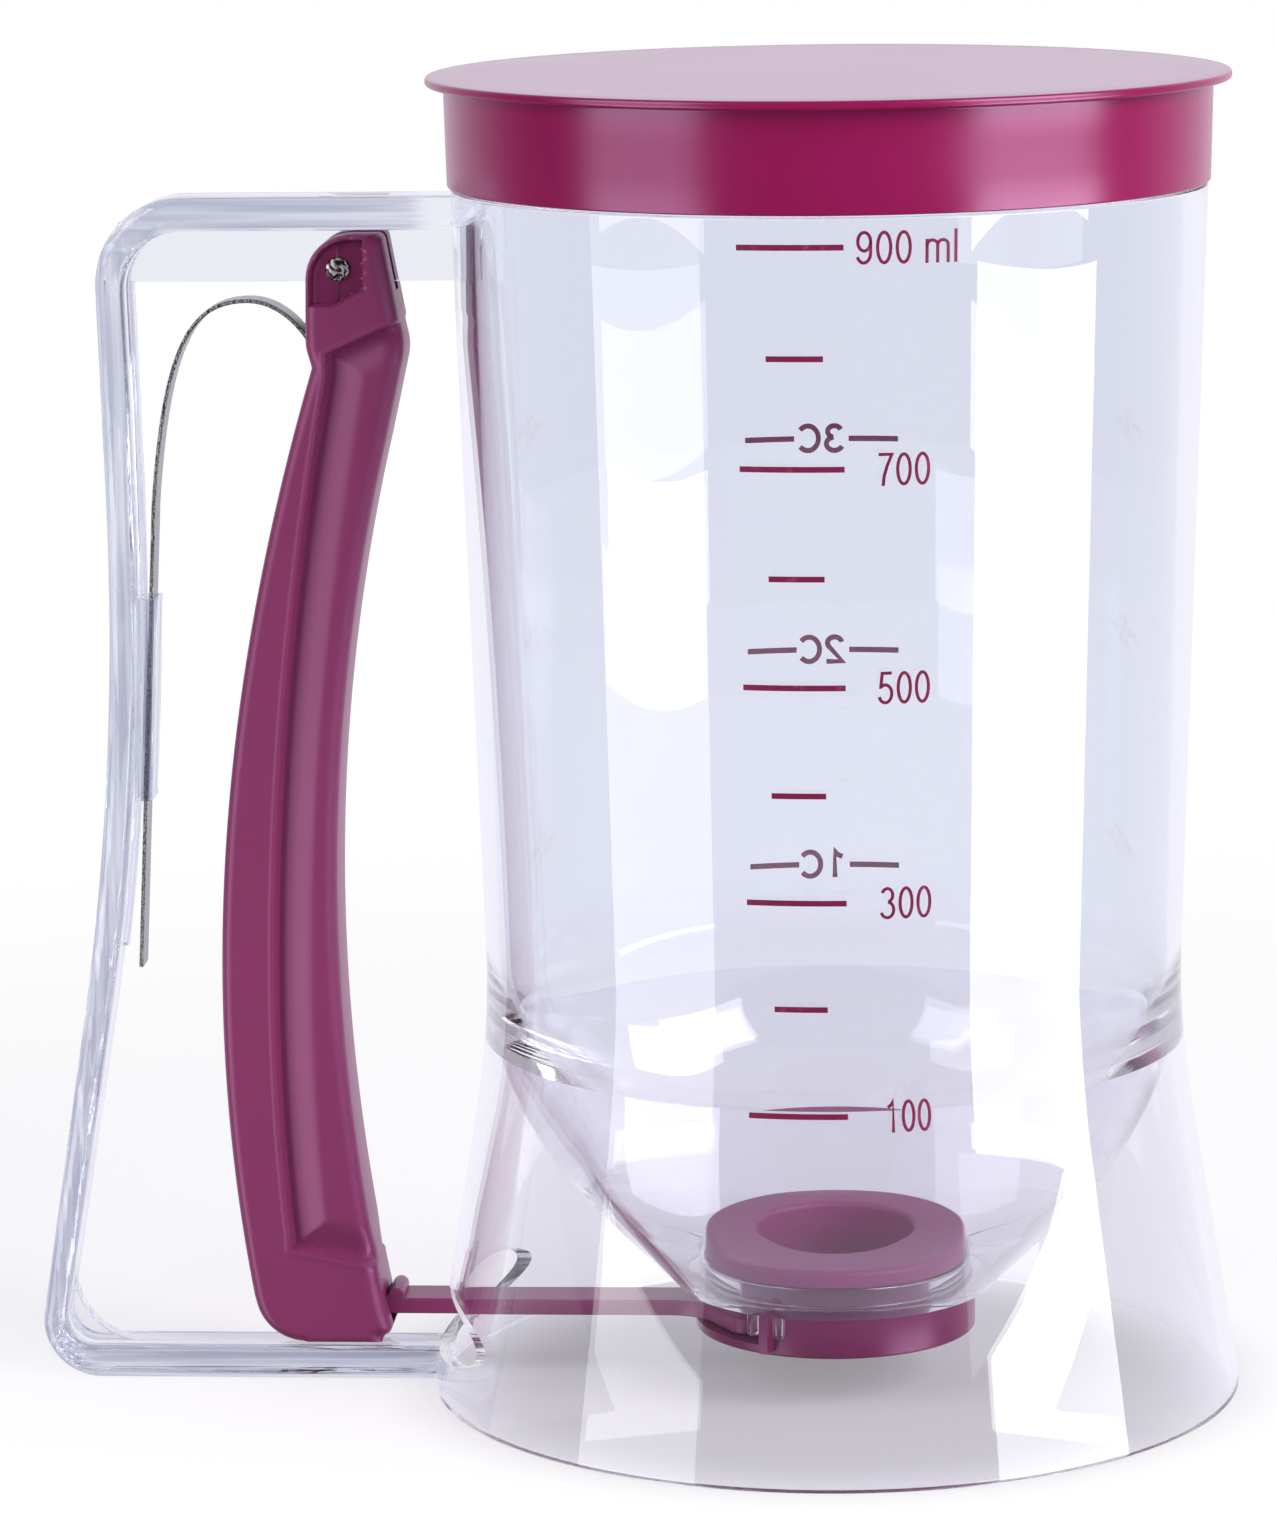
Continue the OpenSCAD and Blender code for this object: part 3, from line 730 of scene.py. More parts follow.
CLEAR = clear_plastic()
LID_BURGUNDY = moulded("lid_burgundy", tone(0.27, 0.0045, 0.076), tone(0.25, 0.004, 0.07), 0.24, 0.03,
                       gloss=0.8, polish=0.42)
# The trigger's and gate's base colour is the burgundy plastic with a painted lilac reflection veil laid
# over it
BURGUNDY = moulded("satin_burgundy_and_painted_veil", tone(0.25, 0.04, 0.125), tone(0.23, 0.036, 0.115), 0.34, 0.06)
# Painted shade: the housing is the gate's burgundy made darker, for the shade it sits in under the funnel
HOUSING = moulded("housing_burgundy_painted_shade", tone(0.19, 0.016, 0.085), tone(0.175, 0.014, 0.077), 0.34, 0.06)
SEAL = moulded("seal_burgundy", tone(0.345, 0.075, 0.195), tone(0.325, 0.07, 0.185), 0.42, 0.10)
STRIP_STEEL = strip_steel()
PIN_STEEL = cropped_steel()
INK = printed_ink()


# ---- Clear moulding: cup, funnel, skirt and handle in one piece ----
HALF_BEND = (math.atan((BASE_R - WAIST_R) / WAIST_Z)
             + math.atan((MOUTH_R - WAIST_R) / (SHOULDER_Z - WAIST_Z))) / 2
WAIST_ROUND = WAIST_BLEND / math.tan(HALF_BEND)
FOOT_EDGE = 0.4
RIM_EDGE = 0.5
WAIST_STEPS = 16
OUTER_LINE = rounded([(BASE_R, 0, 0), (WAIST_R, WAIST_Z, WAIST_ROUND), (MOUTH_R, SHOULDER_Z, 0)],
                     WAIST_STEPS)
WAIST_LINE = OUTER_LINE[1:WAIST_STEPS + 2]


def wall_radius(z):
    """Outer radius of the cup's wall or skirt at a height"""
    heights = [p.y for p in OUTER_LINE]
    return float(np.interp(z, heights, [p.x for p in OUTER_LINE]))


def funnel_underside():
    """The underside's slope at 45 degrees from the floor, then its long curve out to the skirt"""
    start = Vector((FLOOR_R, FLOOR_Z))
    crotch = Vector((wall_radius(CROTCH_Z) - WALL, CROTCH_Z))
    slope = Vector((1, 1)).normalized()
    off_slope = Vector((-slope.y, slope.x))
    run = (crotch - start).dot(slope)
    off = (crotch - start).dot(off_slope)
    bend_at = run - math.sqrt(2 * off * UNDER_ROUND - off * off)
    centre = start + slope * bend_at + off_slope * UNDER_ROUND
    end = math.degrees(math.atan2(crotch.y - centre.y, crotch.x - centre.x))
    return arc(centre, UNDER_ROUND, -45, end, 20)


def cup_profile():
    """Round the whole section of the clear moulding, from the foot's outer edge upwards"""
    rim_inner = RIM_R - RIM_WALL
    funnel_base_z = FLOOR_Z + FUNNEL_WALL * math.sqrt(2)
    wall_top = WAIST_LINE[-1] - Vector((WALL, 0))
    waist = [(p.x, p.y, 0) for p in WAIST_LINE]
    underside = [(p.x, p.y, 0) for p in funnel_underside()]
    low_wall = [(p.x - WALL, p.y, 0) for p in reversed(WAIST_LINE) if p.y < CROTCH_Z - 0.5]
    points = [(BASE_R, 0, FOOT_EDGE)] + waist + [
        (MOUTH_R, SHOULDER_Z, 0.3), (RIM_R, SHOULDER_Z, 0.3),
        (RIM_R, RIM_TOP, RIM_EDGE), (rim_inner, RIM_TOP, RIM_EDGE),
        (wall_top.x, wall_top.y, 0),
        (wall_top.x - 0.02, funnel_base_z + wall_top.x - FLOOR_R, INNER_ROUND),
        (FLOOR_R + FLOOR_TOP - funnel_base_z, FLOOR_TOP, 1.0),
        (BOSS_R, FLOOR_TOP, 0.3), (BOSS_R, BOSS_TOP, 0.3),
        (NECK_R + GAP, BOSS_TOP, 0.2), (NECK_R + GAP, FLOOR_Z, 0.2),
        (FLOOR_R, FLOOR_Z, 0.6)] + underside + low_wall + [(BASE_R - WALL, 0, FOOT_EDGE)]
    outline = rounded(points, 12)
    return split_long(outline + outline[:1], LONG_STEP)[:-1]


def window_cutter():
    """The wide oval in the skirt that the gate's arm passes through"""
    edge = [Vector((WINDOW_HALF_W * math.cos(a), WINDOW_MID + WINDOW_HALF_H * math.sin(a)))
            for a in np.linspace(0, 2 * math.pi, 96, endpoint=False)]
    return prism("window", edge, *WINDOW_CUT, place=lambda u, v, h: (h * MM, u * MM, v * MM))


def frame_line(face):
    """The handle's outline in a side view: 1 for its outer face and -1 for its inner face"""
    out = face * GRIP_T / 2
    down = BAR_T / 2 * (1 - face)
    return rounded([
        (MOUTH_R - WALL / 2, BAR_TOP - down, 0), (GRIP_TOP_S + out, BAR_TOP - down, CORNER_TOP_R + out),
        (GRIP_BEND[0] + out, GRIP_BEND[1], GRIP_BEND_R), (GRIP_FOOT_S + out, down, CORNER_LOW_R + out),
        (BASE_R - 0.7 * WALL, down, 0)], 16)


def grip_face(z):
    """Distance of the grip's inner face from the cup's axis, below the bend"""
    slope = (GRIP_FOOT_S - GRIP_BEND[0]) / (GRIP_BEND[1] - BAR_T)
    return GRIP_FOOT_S - GRIP_T / 2 - slope * (z - BAR_T)


def handle_loop():
    """The two bars and the grip, as one bent beam with rounded edges"""
    outer = split_long(frame_line(1), LONG_STEP)
    inner = split_long(frame_line(-1), LONG_STEP)
    return prism("loop", outer + inner[::-1], -BAR_DEPTH / 2, BAR_DEPTH / 2, LOOP_EDGE)


def web_plate():
    """The thin plate under the top bar, which runs out into a rib down the grip"""
    root_z = BAR_UNDER + 1
    face = [p for p in moved(split_long(frame_line(-1), 4.0), -RIB_H) if RIB_END_Z < p.y < WEB_LOW]
    back = [p + Vector((RIB_H + 1, 0)) for p in face]
    inner_end = MOUTH_R - WALL / 2
    outline = [Vector((inner_end, root_z)), Vector((inner_end, WEB_LOW)), Vector((face[0].x, WEB_LOW))]
    outline += face + back[::-1] + [Vector((back[0].x, root_z))]
    return prism("web", outline, -WEB_T / 2, WEB_T / 2, 0.25)


def pivot_lug():
    """The round lug that hangs from the web and takes the pin"""
    return prism("lug", circle(PIVOT, LUG_R, 60), -WEB_T / 2, WEB_T / 2, 0.2)


def gusset_plate():
    """The thin plate that fills the lower corner up to a round edge"""
    top_z = BAR_T + GUSSET_R
    centre = (grip_face(top_z) - GUSSET_R, top_z)
    edge = arc(centre, GUSSET_R, 0, -90, 20)
    outline = [Vector((centre[0] + GUSSET_R + 1.5, top_z))] + edge
    outline += [Vector((centre[0], BAR_T / 2)), Vector((centre[0] + GUSSET_R + 1.5, BAR_T / 2))]
    return prism("gusset", outline, -WEB_T / 2, WEB_T / 2, 0.2)


LEG_FOOT = Vector((grip_face(GRIP_BEND[1] - LEG_DROP) - LEG_ROOM, GRIP_BEND[1] - LEG_DROP))
SHOULDER = Vector((GRIP_BEND[0] - 3.6, GRIP_BEND[1] + 35.6))


def leg_s(z):
    """Distance of the spring leg's middle from the cup's axis at a height"""
    return LEG_FOOT.x + (SHOULDER.x - LEG_FOOT.x) * (z - LEG_FOOT.y) / (SHOULDER.y - LEG_FOOT.y)


def spring_eye():
    """The eye on the grip's inner side that holds the spring's leg"""
    room = SPRING_T / 2 + GAP
    slot_half = SPRING_W / 2 + GAP
    reach = room + EYE_WALL
    body = [Vector((leg_s(EYE_TOP) - reach, EYE_TOP)), Vector((GRIP_BEND[0], EYE_TOP)),
            Vector((GRIP_BEND[0], EYE_LOW)), Vector((leg_s(EYE_LOW) - reach, EYE_LOW))]
    slot = [Vector((leg_s(z) + shift, z)) for z, shift in
            ((EYE_TOP + 5, -room), (EYE_TOP + 5, room), (EYE_LOW - 5, room), (EYE_LOW - 5, -room))]
    eye = prism("eye", body, -slot_half - EYE_WALL, slot_half + EYE_WALL, 0.2)
    return cut(eye, prism("slot", slot, -slot_half, slot_half))


def peg(angle):
    """A round-ended peg that hangs from the funnel's floor"""
    low = FLOOR_Z - PEG_H
    tip = arc((0, low + PEG_R), PEG_R, -90, 0, 6)
    profile = tip + [Vector((PEG_R, FLOOR_Z + 1)), Vector((0, FLOOR_Z + 1))]
    piece = lathe("peg", profile, 24)
    turned = math.radians(angle)
    place = Vector((-PEG_RING_R * math.cos(turned), -PEG_RING_R * math.sin(turned), 0)) * MM
    piece.data.transform(Matrix.Translation(place))
    return piece


def clear_moulding():
    """The cup with its funnel and skirt, and all that is moulded to it"""
    cup = cut(lathe("clear_moulding", cup_profile()), window_cutter())
    join(cup, handle_loop(), web_plate(), pivot_lug(), gusset_plate(), spring_eye())
    join(cup, *(peg(half * (PEG_ANGLE + k * PEG_SPREAD)) for half in (-1, 1) for k in (0, 1)))
    cut(cup, prism("bore", circle(PIVOT, PIN_R + 0.02, 45), -3, 3))
    return finish_piece(cup, CLEAR, "cup", "clear_plastic",
                        "cup_wall", "funnel_bowl", "base_skirt", "handle_frame")


# ---- Lid ----
def lid():
    """The over-cap: a flat plate with a thin flange and a skirt that slips over the mouth"""
    flange_z = LID_TOP - FLANGE_T
    ceiling = LID_TOP - LID_PLATE
    inner = LID_SKIRT_R - LID_WALL
    profile = rounded([
        (0, LID_TOP, 0), (LID_R, LID_TOP, 0.45), (LID_R, flange_z, 0.45),
        (LID_SKIRT_R + LID_DRAFT, flange_z, 0.4), (LID_SKIRT_R, LID_LOW, 0.3),
        (inner, LID_LOW, 0.3), (inner, ceiling, 0.5), (0, ceiling, 0)], 6)
    profile = split_long(profile, 6.0)
    return finish_piece(lathe("lid_cover", profile), LID_BURGUNDY, "lid", "burgundy_plastic", "lid")


# ---- Trigger ----
def along(out, share):
    """A point of the lever: how far outward of the pivot, and its share of the lever's length"""
    return (PIVOT[0] + out, PIVOT[1] - share * LEVER)


FRONT_EDGE = bezier((PIVOT[0] - 3.4, ARM_MID + 1.7), along(4.3, 0.71), along(3.9, 0.437),
                    along(-6.1, 0.159), 60)
REAR_EDGE = bezier(along(3.8, 0.092), along(17.3, 0.391), along(22, 0.686),
                   (PIVOT[0] + 14.7, ARM_MID + 2.2), 60)
BROW = (PIVOT[0] - 8.8, PIVOT[1] - 11.0)
PANEL_EDGE = bezier((PIVOT[0] + 9.4, ARM_MID + 10.5), along(12.9, 0.686), along(10.1, 0.391),
                    along(1.9, 0.1), 60)


TURN_STEPS = 10
TURN_POINTS = TURN_STEPS + 1
HEEL_STEPS = 14


def trigger_front():
    """The trigger's finger side from the sole up to the head"""
    toe = rounded([(PIVOT[0] + 3, SOLE_Z, 3), (PIVOT[0] - 4.8, SOLE_Z + 0.8, 1.5),
                   (*FRONT_EDGE[0], 0)], TURN_STEPS)[TURN_POINTS:2 * TURN_POINTS]
    brow = rounded([(*FRONT_EDGE[-1], 0), (*BROW, 9), (PIVOT[0] - 6, HEAD_TOP, 1),
                    (PIVOT[0] + 4.3, HEAD_TOP, 6)], TURN_STEPS)[1:2 * TURN_POINTS + 1]
    return toe + FRONT_EDGE + brow


def trigger_rear():
    """The trigger's rear side from the sole up to the head"""
    heel = rounded([(PIVOT[0] + 3, SOLE_Z, 0), (PIVOT[0] + 13, SOLE_Z, 7),
                    (*REAR_EDGE[-1], 0)], HEEL_STEPS)[1:HEEL_STEPS + 2]
    nape = rounded([(*REAR_EDGE[0], 0), (PIVOT[0] + 4.6, PIVOT[1] - 10.5, 6),
                    (PIVOT[0] + 4.3, HEAD_TOP, 6), (PIVOT[0] - 6, HEAD_TOP, 1)],
                   TURN_STEPS)[1:2 * TURN_POINTS + 1]
    return heel + REAR_EDGE[::-1] + nape


def s_at(path, z):
    """Distance from the cup's axis where an upward path passes a height"""
    return np.interp(z, [p.y for p in path], [p.x for p in path])


def away_from(line, points):
    """Distance of each point from a polyline"""
    nearest = np.full(len(points), 1e9)
    for a, b in zip(line, line[1:]):
        a = np.array(a)
        run = np.array(b) - a
        share = np.clip(((points - a) @ run) / max(run @ run, 1e-12), 0, 1)
        nearest = np.minimum(nearest, np.linalg.norm(points - a - share[:, None] * run, axis=1))
    return nearest


def step_up(value, low, high):
    """0 below low, 1 above high and smooth between"""
    t = np.clip((value - low) / (high - low), 0, 1)
    return t * t * (3 - 2 * t)


def round_over(distance, radius):
    """How far a rounded edge has dropped at a distance from the outline"""
    inside = np.clip(1 - distance / radius, 0, 1)
    return radius * (1 - np.sqrt(1 - inside ** 2))


def inside_panel(s, z):
    """How far inside the sunk panel each point lies: past its ridge, under its top, over its foot"""
    top = along(0.1, 0.073)
    top_slope = (PIVOT[1] - 5.2 - top[1]) / (top[0] - (PIVOT[0] - 12))
    past_ridge = s_at(PANEL_EDGE, z) - s
    under_top = top[1] + (top[0] - s) * top_slope - z
    over_foot = z - (ARM_MID + 4.3 + (s - PIVOT[0] + 12) * PANEL_FOOT_SLOPE)
    return np.minimum(np.minimum(past_ridge, under_top), over_foot)


def inside_pocket(s, z, from_rear):
    """How far inside the pocket round the pin each point lies, from the nearest of its five sides"""
    cup_side = s - (PIVOT[0] - 3.5)
    slanting = z - (PIVOT[1] - 2.6 - 0.5 * (s - PIVOT[0] + 3.9))
    lowest = z - (PIVOT[1] - 4.8)
    return np.min((cup_side, slanting, lowest, from_rear - POCKET_RIM, HEAD_TOP - POCKET_RIM - z), axis=0)


def cheek_depth(points, front, rear):
    """How far below the trigger's full half width each point of a cheek lies"""
    s, z = points.T
    from_front = away_from(front, points)
    from_rear = away_from(rear, points)
    from_ends = np.minimum(HEAD_TOP - z, z - SOLE_Z)
    depth = np.maximum(round_over(from_front, FRONT_ROUND), round_over(from_rear, REAR_ROUND))
    depth = np.maximum(depth, round_over(from_ends, END_ROUND))
    inside = inside_panel(s, z)
    belly = step_up(inside, RIDGE_STEP, BELLY_RUN)
    depth += PANEL_DEPTH * step_up(inside, 0.0, RIDGE_STEP) - BELLY_H * belly
    depth -= LIP_H * step_up(inside, -0.9, -0.3) * step_up(-inside, -0.1, 0.15)
    in_pocket = inside_pocket(s, z, from_rear)
    slant = 1 + POCKET_SLANT * step_up(PIVOT[0] - s, -0.3, 0.3)
    return depth + POCKET_DEPTH * slant * step_up(in_pocket, -POCKET_EDGE, POCKET_EDGE)


def cheek_rows():
    """Heights of the rows of a cheek's mesh, close together where its shape changes"""
    toe_end = 26.0
    head_start = 134.0
    turns = END_ROUND * (1 - np.cos(np.radians(np.linspace(0, 90, 7))))
    foot = SOLE_Z + turns
    head = HEAD_TOP - turns[::-1]
    return np.concatenate([foot, np.arange(SOLE_Z + 1.25, toe_end, 0.25),
                           np.arange(toe_end, head_start, 1.0),
                           np.arange(head_start, HEAD_TOP - 1.1, 0.22), head])


def cheek_columns(front_s, panel_s, rear_s):
    """Places of the columns of one row, from the finger side to the rear"""
    turn = 1 - np.cos(np.radians(np.linspace(0, 90, 9)))
    width = rear_s - front_s
    fore = front_s + turn * min(3.0, 0.3 * width)
    aft = rear_s - turn[::-1] * min(REAR_ROUND, 0.2 * width)
    ridge = min(max(panel_s, fore[-1] + 0.25 * (aft[0] - fore[-1])), aft[0] - 0.2 * (aft[0] - fore[-1]))
    inner = min(RIDGE_STEP, 0.5 * (ridge - fore[-1]))
    lip = min(1.0, 0.5 * (aft[0] - ridge))
    return np.concatenate([fore, np.linspace(fore[-1], ridge - inner, 16)[1:],
                           np.linspace(ridge - inner, ridge, 7)[1:],
                           np.linspace(ridge, ridge + lip, 7)[1:],
                           np.linspace(ridge + lip, aft[0], 10)[1:-1], aft])


def trigger_shell():
    """The solid trigger before it is hollowed: two shaped cheeks joined round their outline"""
    front = trigger_front()
    rear = trigger_rear()
    rows = cheek_rows()
    grid = []
    for z in rows:
        columns = cheek_columns(s_at(front, z), s_at(PANEL_EDGE, z), s_at(rear, z))
        grid.append(np.column_stack([columns, np.full(len(columns), z)]))
    across = len(grid[0])
    points = np.concatenate(grid)
    half = TRIGGER_W / 2 - cheek_depth(points, front, rear)
    count = len(points)
    places = [side(s, z, h) for (s, z), h in zip(points, half)]
    places += [side(s, z, -h) for (s, z), h in zip(points, half)]
    faces = []
    for i in range(len(rows) - 1):
        for k in range(across - 1):
            a = i * across + k
            quad = (a, a + 1, a + across + 1, a + across)
            faces += [quad, tuple(count + v for v in reversed(quad))]
    border = list(range(across))
    border += [i * across + across - 1 for i in range(1, len(rows))]
    border += [(len(rows) - 1) * across + k for k in range(across - 2, -1, -1)]
    border += [i * across for i in range(len(rows) - 2, 0, -1)]
    for a, b in zip(border, border[1:] + border[:1]):
        faces.append((a, a + count, b + count, b))
    return mesh_object("trigger_lever", places, faces)


def trigger_hollow():
    """The hollow inside the trigger, open to the rear, with its stiffening ribs left standing"""
    half = TRIGGER_W / 2 - CHEEK_T
    low_z = SOLE_Z + END_WALL
    high_z = HEAD_TOP - END_WALL
    wall = moved(FRONT_EDGE, FINGER_WALL)
    outline = [Vector((PIVOT[0] - 4.5 + FINGER_WALL, low_z))] + wall
    outline += [Vector((BROW[0] + FINGER_WALL, BROW[1])), Vector((PIVOT[0] - 5.8 + FINGER_WALL, high_z)),
                Vector((PIVOT[0] + 20, high_z)), Vector((PIVOT[0] + 40, low_z))]
    hollow = prism("hollow", outline, -half, half)
    for share in np.linspace(0.34, 0.88, 4):
        z = PIVOT[1] - share * LEVER
        wall_s = s_at(FRONT_EDGE, z) + FINGER_WALL
        rib = box_outline(wall_s - 2, z - STIFFENER_T / 2, wall_s + STIFFENER_H, z + STIFFENER_T / 2)
        cut(hollow, prism("rib", rib, -half - 1, half + 1))
    cut(hollow, prism("boss", circle(PIVOT, HUB_R, 36), -half - 1, half + 1))
    return hollow


def trigger():
    """The lever: hollowed, forked round the web, bored for the pin and slotted for the gate's arm"""
    fork_half = WEB_T / 2 + GAP
    slot_half = ARM_W / 2 + GAP
    fork = box_outline(PIVOT[0] - BEYOND, WEB_LOW - WEB_ROOM, PIVOT[0] + BEYOND, WEB_LOW + BEYOND)
    slot = box_outline(PIVOT[0] - BEYOND, GATE_Z - ARM_ROOM, PIVOT[0], GATE_TOP + GAP)
    lever = cut(trigger_shell(), trigger_hollow(),
                prism("fork", fork, -fork_half, fork_half),
                prism("lug_room", circle(PIVOT, LUG_R + GAP, 60), -fork_half, fork_half),
                prism("bore", circle(PIVOT, PIN_R + 0.05, 45), -12, 12),
                prism("arm_slot", slot, -slot_half, slot_half))
    return finish_piece(lever, BURGUNDY, "trigger", "burgundy_plastic", "trigger")


def pivot_pin():
    """A wire pin with rough, slightly domed cropped ends"""
    half = POCKET_FLOOR + GAP
    rings = [(0.0, half), (0.4, half), (0.8, half - 0.02), (1.2, half - 0.05), (1.5, half - 0.15),
             (PIN_R, half - 0.35)]
    profile = rings + [(r, -h) for r, h in reversed(rings)]
    pin = lathe("pivot_wire", [Vector(p) for p in profile], 40)
    turn = Matrix.Rotation(math.radians(90), 4, "X")
    pin.data.transform(Matrix.Translation((-PIVOT[0] * MM, 0, PIVOT[1] * MM)) @ turn)
    return finish_piece(pin, PIN_STEEL, "cup", "pin_steel", "pivot_pin")


# ---- Leaf spring ----
def spring_path():
    """The strip's side line: from inside the trigger, over its arc and down the grip to its foot"""
    pivot = Vector(PIVOT)
    apex = pivot + Vector((12.9, -4.6))
    mouth = pivot + Vector((3.7, -11.5))
    hidden = bezier(pivot + Vector((-2, -27.8)), pivot + Vector((-1.2, -21.8)),
                    mouth - Vector((1.7, 3.3)), mouth)
    rise = bezier(mouth, mouth + Vector((2, 4)), apex - Vector((3.9, 0)), apex)
    fall = bezier(apex, apex + Vector((7.5, 0)), SHOULDER + Vector((-2, 22)), SHOULDER)
    return split_long(hidden + rise[1:] + fall[1:] + [LEG_FOOT], 3.0)


def leaf_spring():
    """The strip swept along its side line, which bends between the cup and the trigger"""
    line = bpy.data.curves.new("spring_line", "CURVE")
    line.dimensions = "3D"
    path = spring_path()
    spline = line.splines.new("POLY")
    spline.points.add(len(path) - 1)
    for point, (s, z) in zip(spline.points, path):
        point.co = (*side(s, z, 0), 1)
    wire = add_object("spring_line", line)
    spring = grown(wire, "spring_strip", strip_sweep(), Width=SPRING_W * MM, Thickness=SPRING_T * MM,
                   Edge=SPRING_EDGE * MM, Paint=STRIP_STEEL)
    spring.data.shade_smooth()
    spring.data.set_sharp_from_angle(angle=SHARP_ANGLE)
    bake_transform(spring)
    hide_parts("leaf_spring")


# ---- Gate and valve ----
def gate():
    """The sliding gate with its arm, the rounded catch on the arm and its end plate"""
    end = PIVOT[0] - 3.2 + FINGER_WALL + 2 * GAP
    half_plan = [(-end, ARM_W / 2, 0), (-GATE_R - 6, ARM_W / 2, 7), (-GATE_R, GATE_R, 2.5),
                 (0, GATE_R, 0)]
    outline = rounded(half_plan + [(x, -y, r) for x, y, r in reversed(half_plan)], 10)
    shutter = prism("gate_plate", circle(AXIS, GATE_R), GATE_Z, GATE_TOP, 0.25, plan)
    arm = prism("arm", outline, GATE_Z + 1e-3, GATE_TOP - 1e-3, 0.25, plan)
    head_half = ARM_W / 2 + HEAD_LAP
    head = box_outline(-end - HEAD_T, -head_half, -end + 0.01, head_half)
    plate = prism("plate", head, GATE_Z, GATE_TOP + 2 * HEAD_LAP, 0.3, plan)
    bump = circle((PIVOT[0] - 4.9, GATE_TOP + BUMP_R / 3), BUMP_R, 24)
    catch = prism("catch", bump, -ARM_W / 2, ARM_W / 2, 0.2)
    return finish_piece(join(shutter, arm, plate, catch), BURGUNDY, "gate", "burgundy_plastic",
                        "gate_slider")


def valve_housing():
    """The round housing under the floor that guides the gate, open to the handle's side"""
    channel_z = GATE_Z - GAP
    half = GATE_R + GAP
    mouth = HOUSING_R / 2
    body = prism("gate_housing", circle(AXIS, HOUSING_R), HOUSING_LOW, FLOOR_Z - SEAM, 0.35, plan)
    track = box_outline(-HOUSING_R, -half, HOUSING_R, half)
    channel = prism("channel", track, channel_z, FLOOR_Z + 5, 0, plan)
    bowl = prism("bowl", circle(AXIS, HOUSING_R - HOUSING_WALL), channel_z - 1, FLOOR_Z + 6, 0, plan)
    combine(channel, bowl, "INTERSECT")
    opening = box_outline(-2 * HOUSING_R, -HOUSING_R - 1, -mouth, HOUSING_R + 1)
    cut(body, prism("hole", circle(AXIS, OUTLET_R + 1), HOUSING_LOW - 5, HOUSING_LOW + 5, 0, plan),
        channel, prism("opening", opening, channel_z, FLOOR_Z + 5, 0, plan))
    for sign in (-1, 1):
        key = box_outline(-PEG_RING_R - PEG_R, -KEY_W / 2, 1 - HOUSING_R, KEY_W / 2)
        bar = prism("key", key, HOUSING_LOW + KEY_W / 2, FLOOR_Z - SEAM, 0.15, plan)
        bar.data.transform(Matrix.Rotation(math.radians(sign * (PEG_ANGLE + PEG_SPREAD / 2)), 4, "Z"))
        join(body, bar)
    return finish_piece(body, HOUSING, "cup", "burgundy_plastic", "valve_housing")


def seat_ring():
    """The soft ring on the floor round the outlet, with a neck down to the gate"""
    neck_low = GATE_TOP + GAP
    profile = rounded([
        (OUTLET_R, neck_low, 0.2), (NECK_R, neck_low, 0.2), (NECK_R, BOSS_TOP + SEAM, 0),
        (SEAT_R, BOSS_TOP + SEAM, 0.2), (SEAT_R, SEAT_TOP, 0.8), (OUTLET_R, SEAT_TOP, 0.8)], 6)
    return finish_piece(lathe("outlet_seat", profile), SEAL, "cup", "burgundy_seal", "seat_ring")


# ---- Printed scale ----
INK_T = 0.05
INK_LIFT = 0.01
LINE_T = 0.75
LINE_PITCH = 14.2
LINE_LOW_Z = 48.7
LINE_L = 13.0
SHORT_LINE_L = 7.0
FIGURE_H = 4.25
FIGURE_PEN = 0.42
FIGURE_DROP = 2.2                          # from a line's middle down to its figures' feet
CUPS_LINE_L = 7.4
CUPS_LINE_T = 0.8
CUPS_FIGURE_W = 7.0
CUPS_FIGURE_H = 3.9
CUPS_FIGURE_PEN = 0.75
CUPS_FIGURE_DROP = 1.9
CUPS_HEIGHTS = {1: 63.6, 2: 95.05, 3: 125.6}


def wrap_on_cup(piece, azimuth, height):
    """Lays a flat print on the cup: x runs round it, y up it and z out of it."""
    for vertex in piece.data.vertices:
        u, v, w = vertex.co
        z = height + v
        r = wall_radius(z) + INK_LIFT + w
        angle = math.radians(azimuth) + u / wall_radius(height)
        vertex.co = plan(r * math.sin(angle), -r * math.cos(angle), z)
    return piece


def printed_lines(azimuth, height, count, length, short_share=1.0, short_shift=0.0, stroke=LINE_T):
    """Printed lines one above another, the lowest at the height given"""
    start = add_object("lines", bpy.data.meshes.new("lines"))
    piece = grown(start, "lines", ruled_lines(), Count=count, Pitch=LINE_PITCH, Length=length,
                  Short_Share=short_share, Short_Shift=short_shift, Stroke=stroke, Depth=INK_T, Paint=INK)
    for vertex in piece.data.vertices:
        vertex.co.z += INK_T / 2
    return wrap_on_cup(piece, azimuth, height)


def oval(middle, width, height, start, end):
    """Points of part of an ellipse, with its half width, half height and its angles in degrees"""
    steps = max(8, round(abs(end - start) / 12))
    return [(middle[0] + width * math.cos(math.radians(a)),
             middle[1] + height * math.sin(math.radians(a)))
            for a in np.linspace(start, end, steps + 1)]


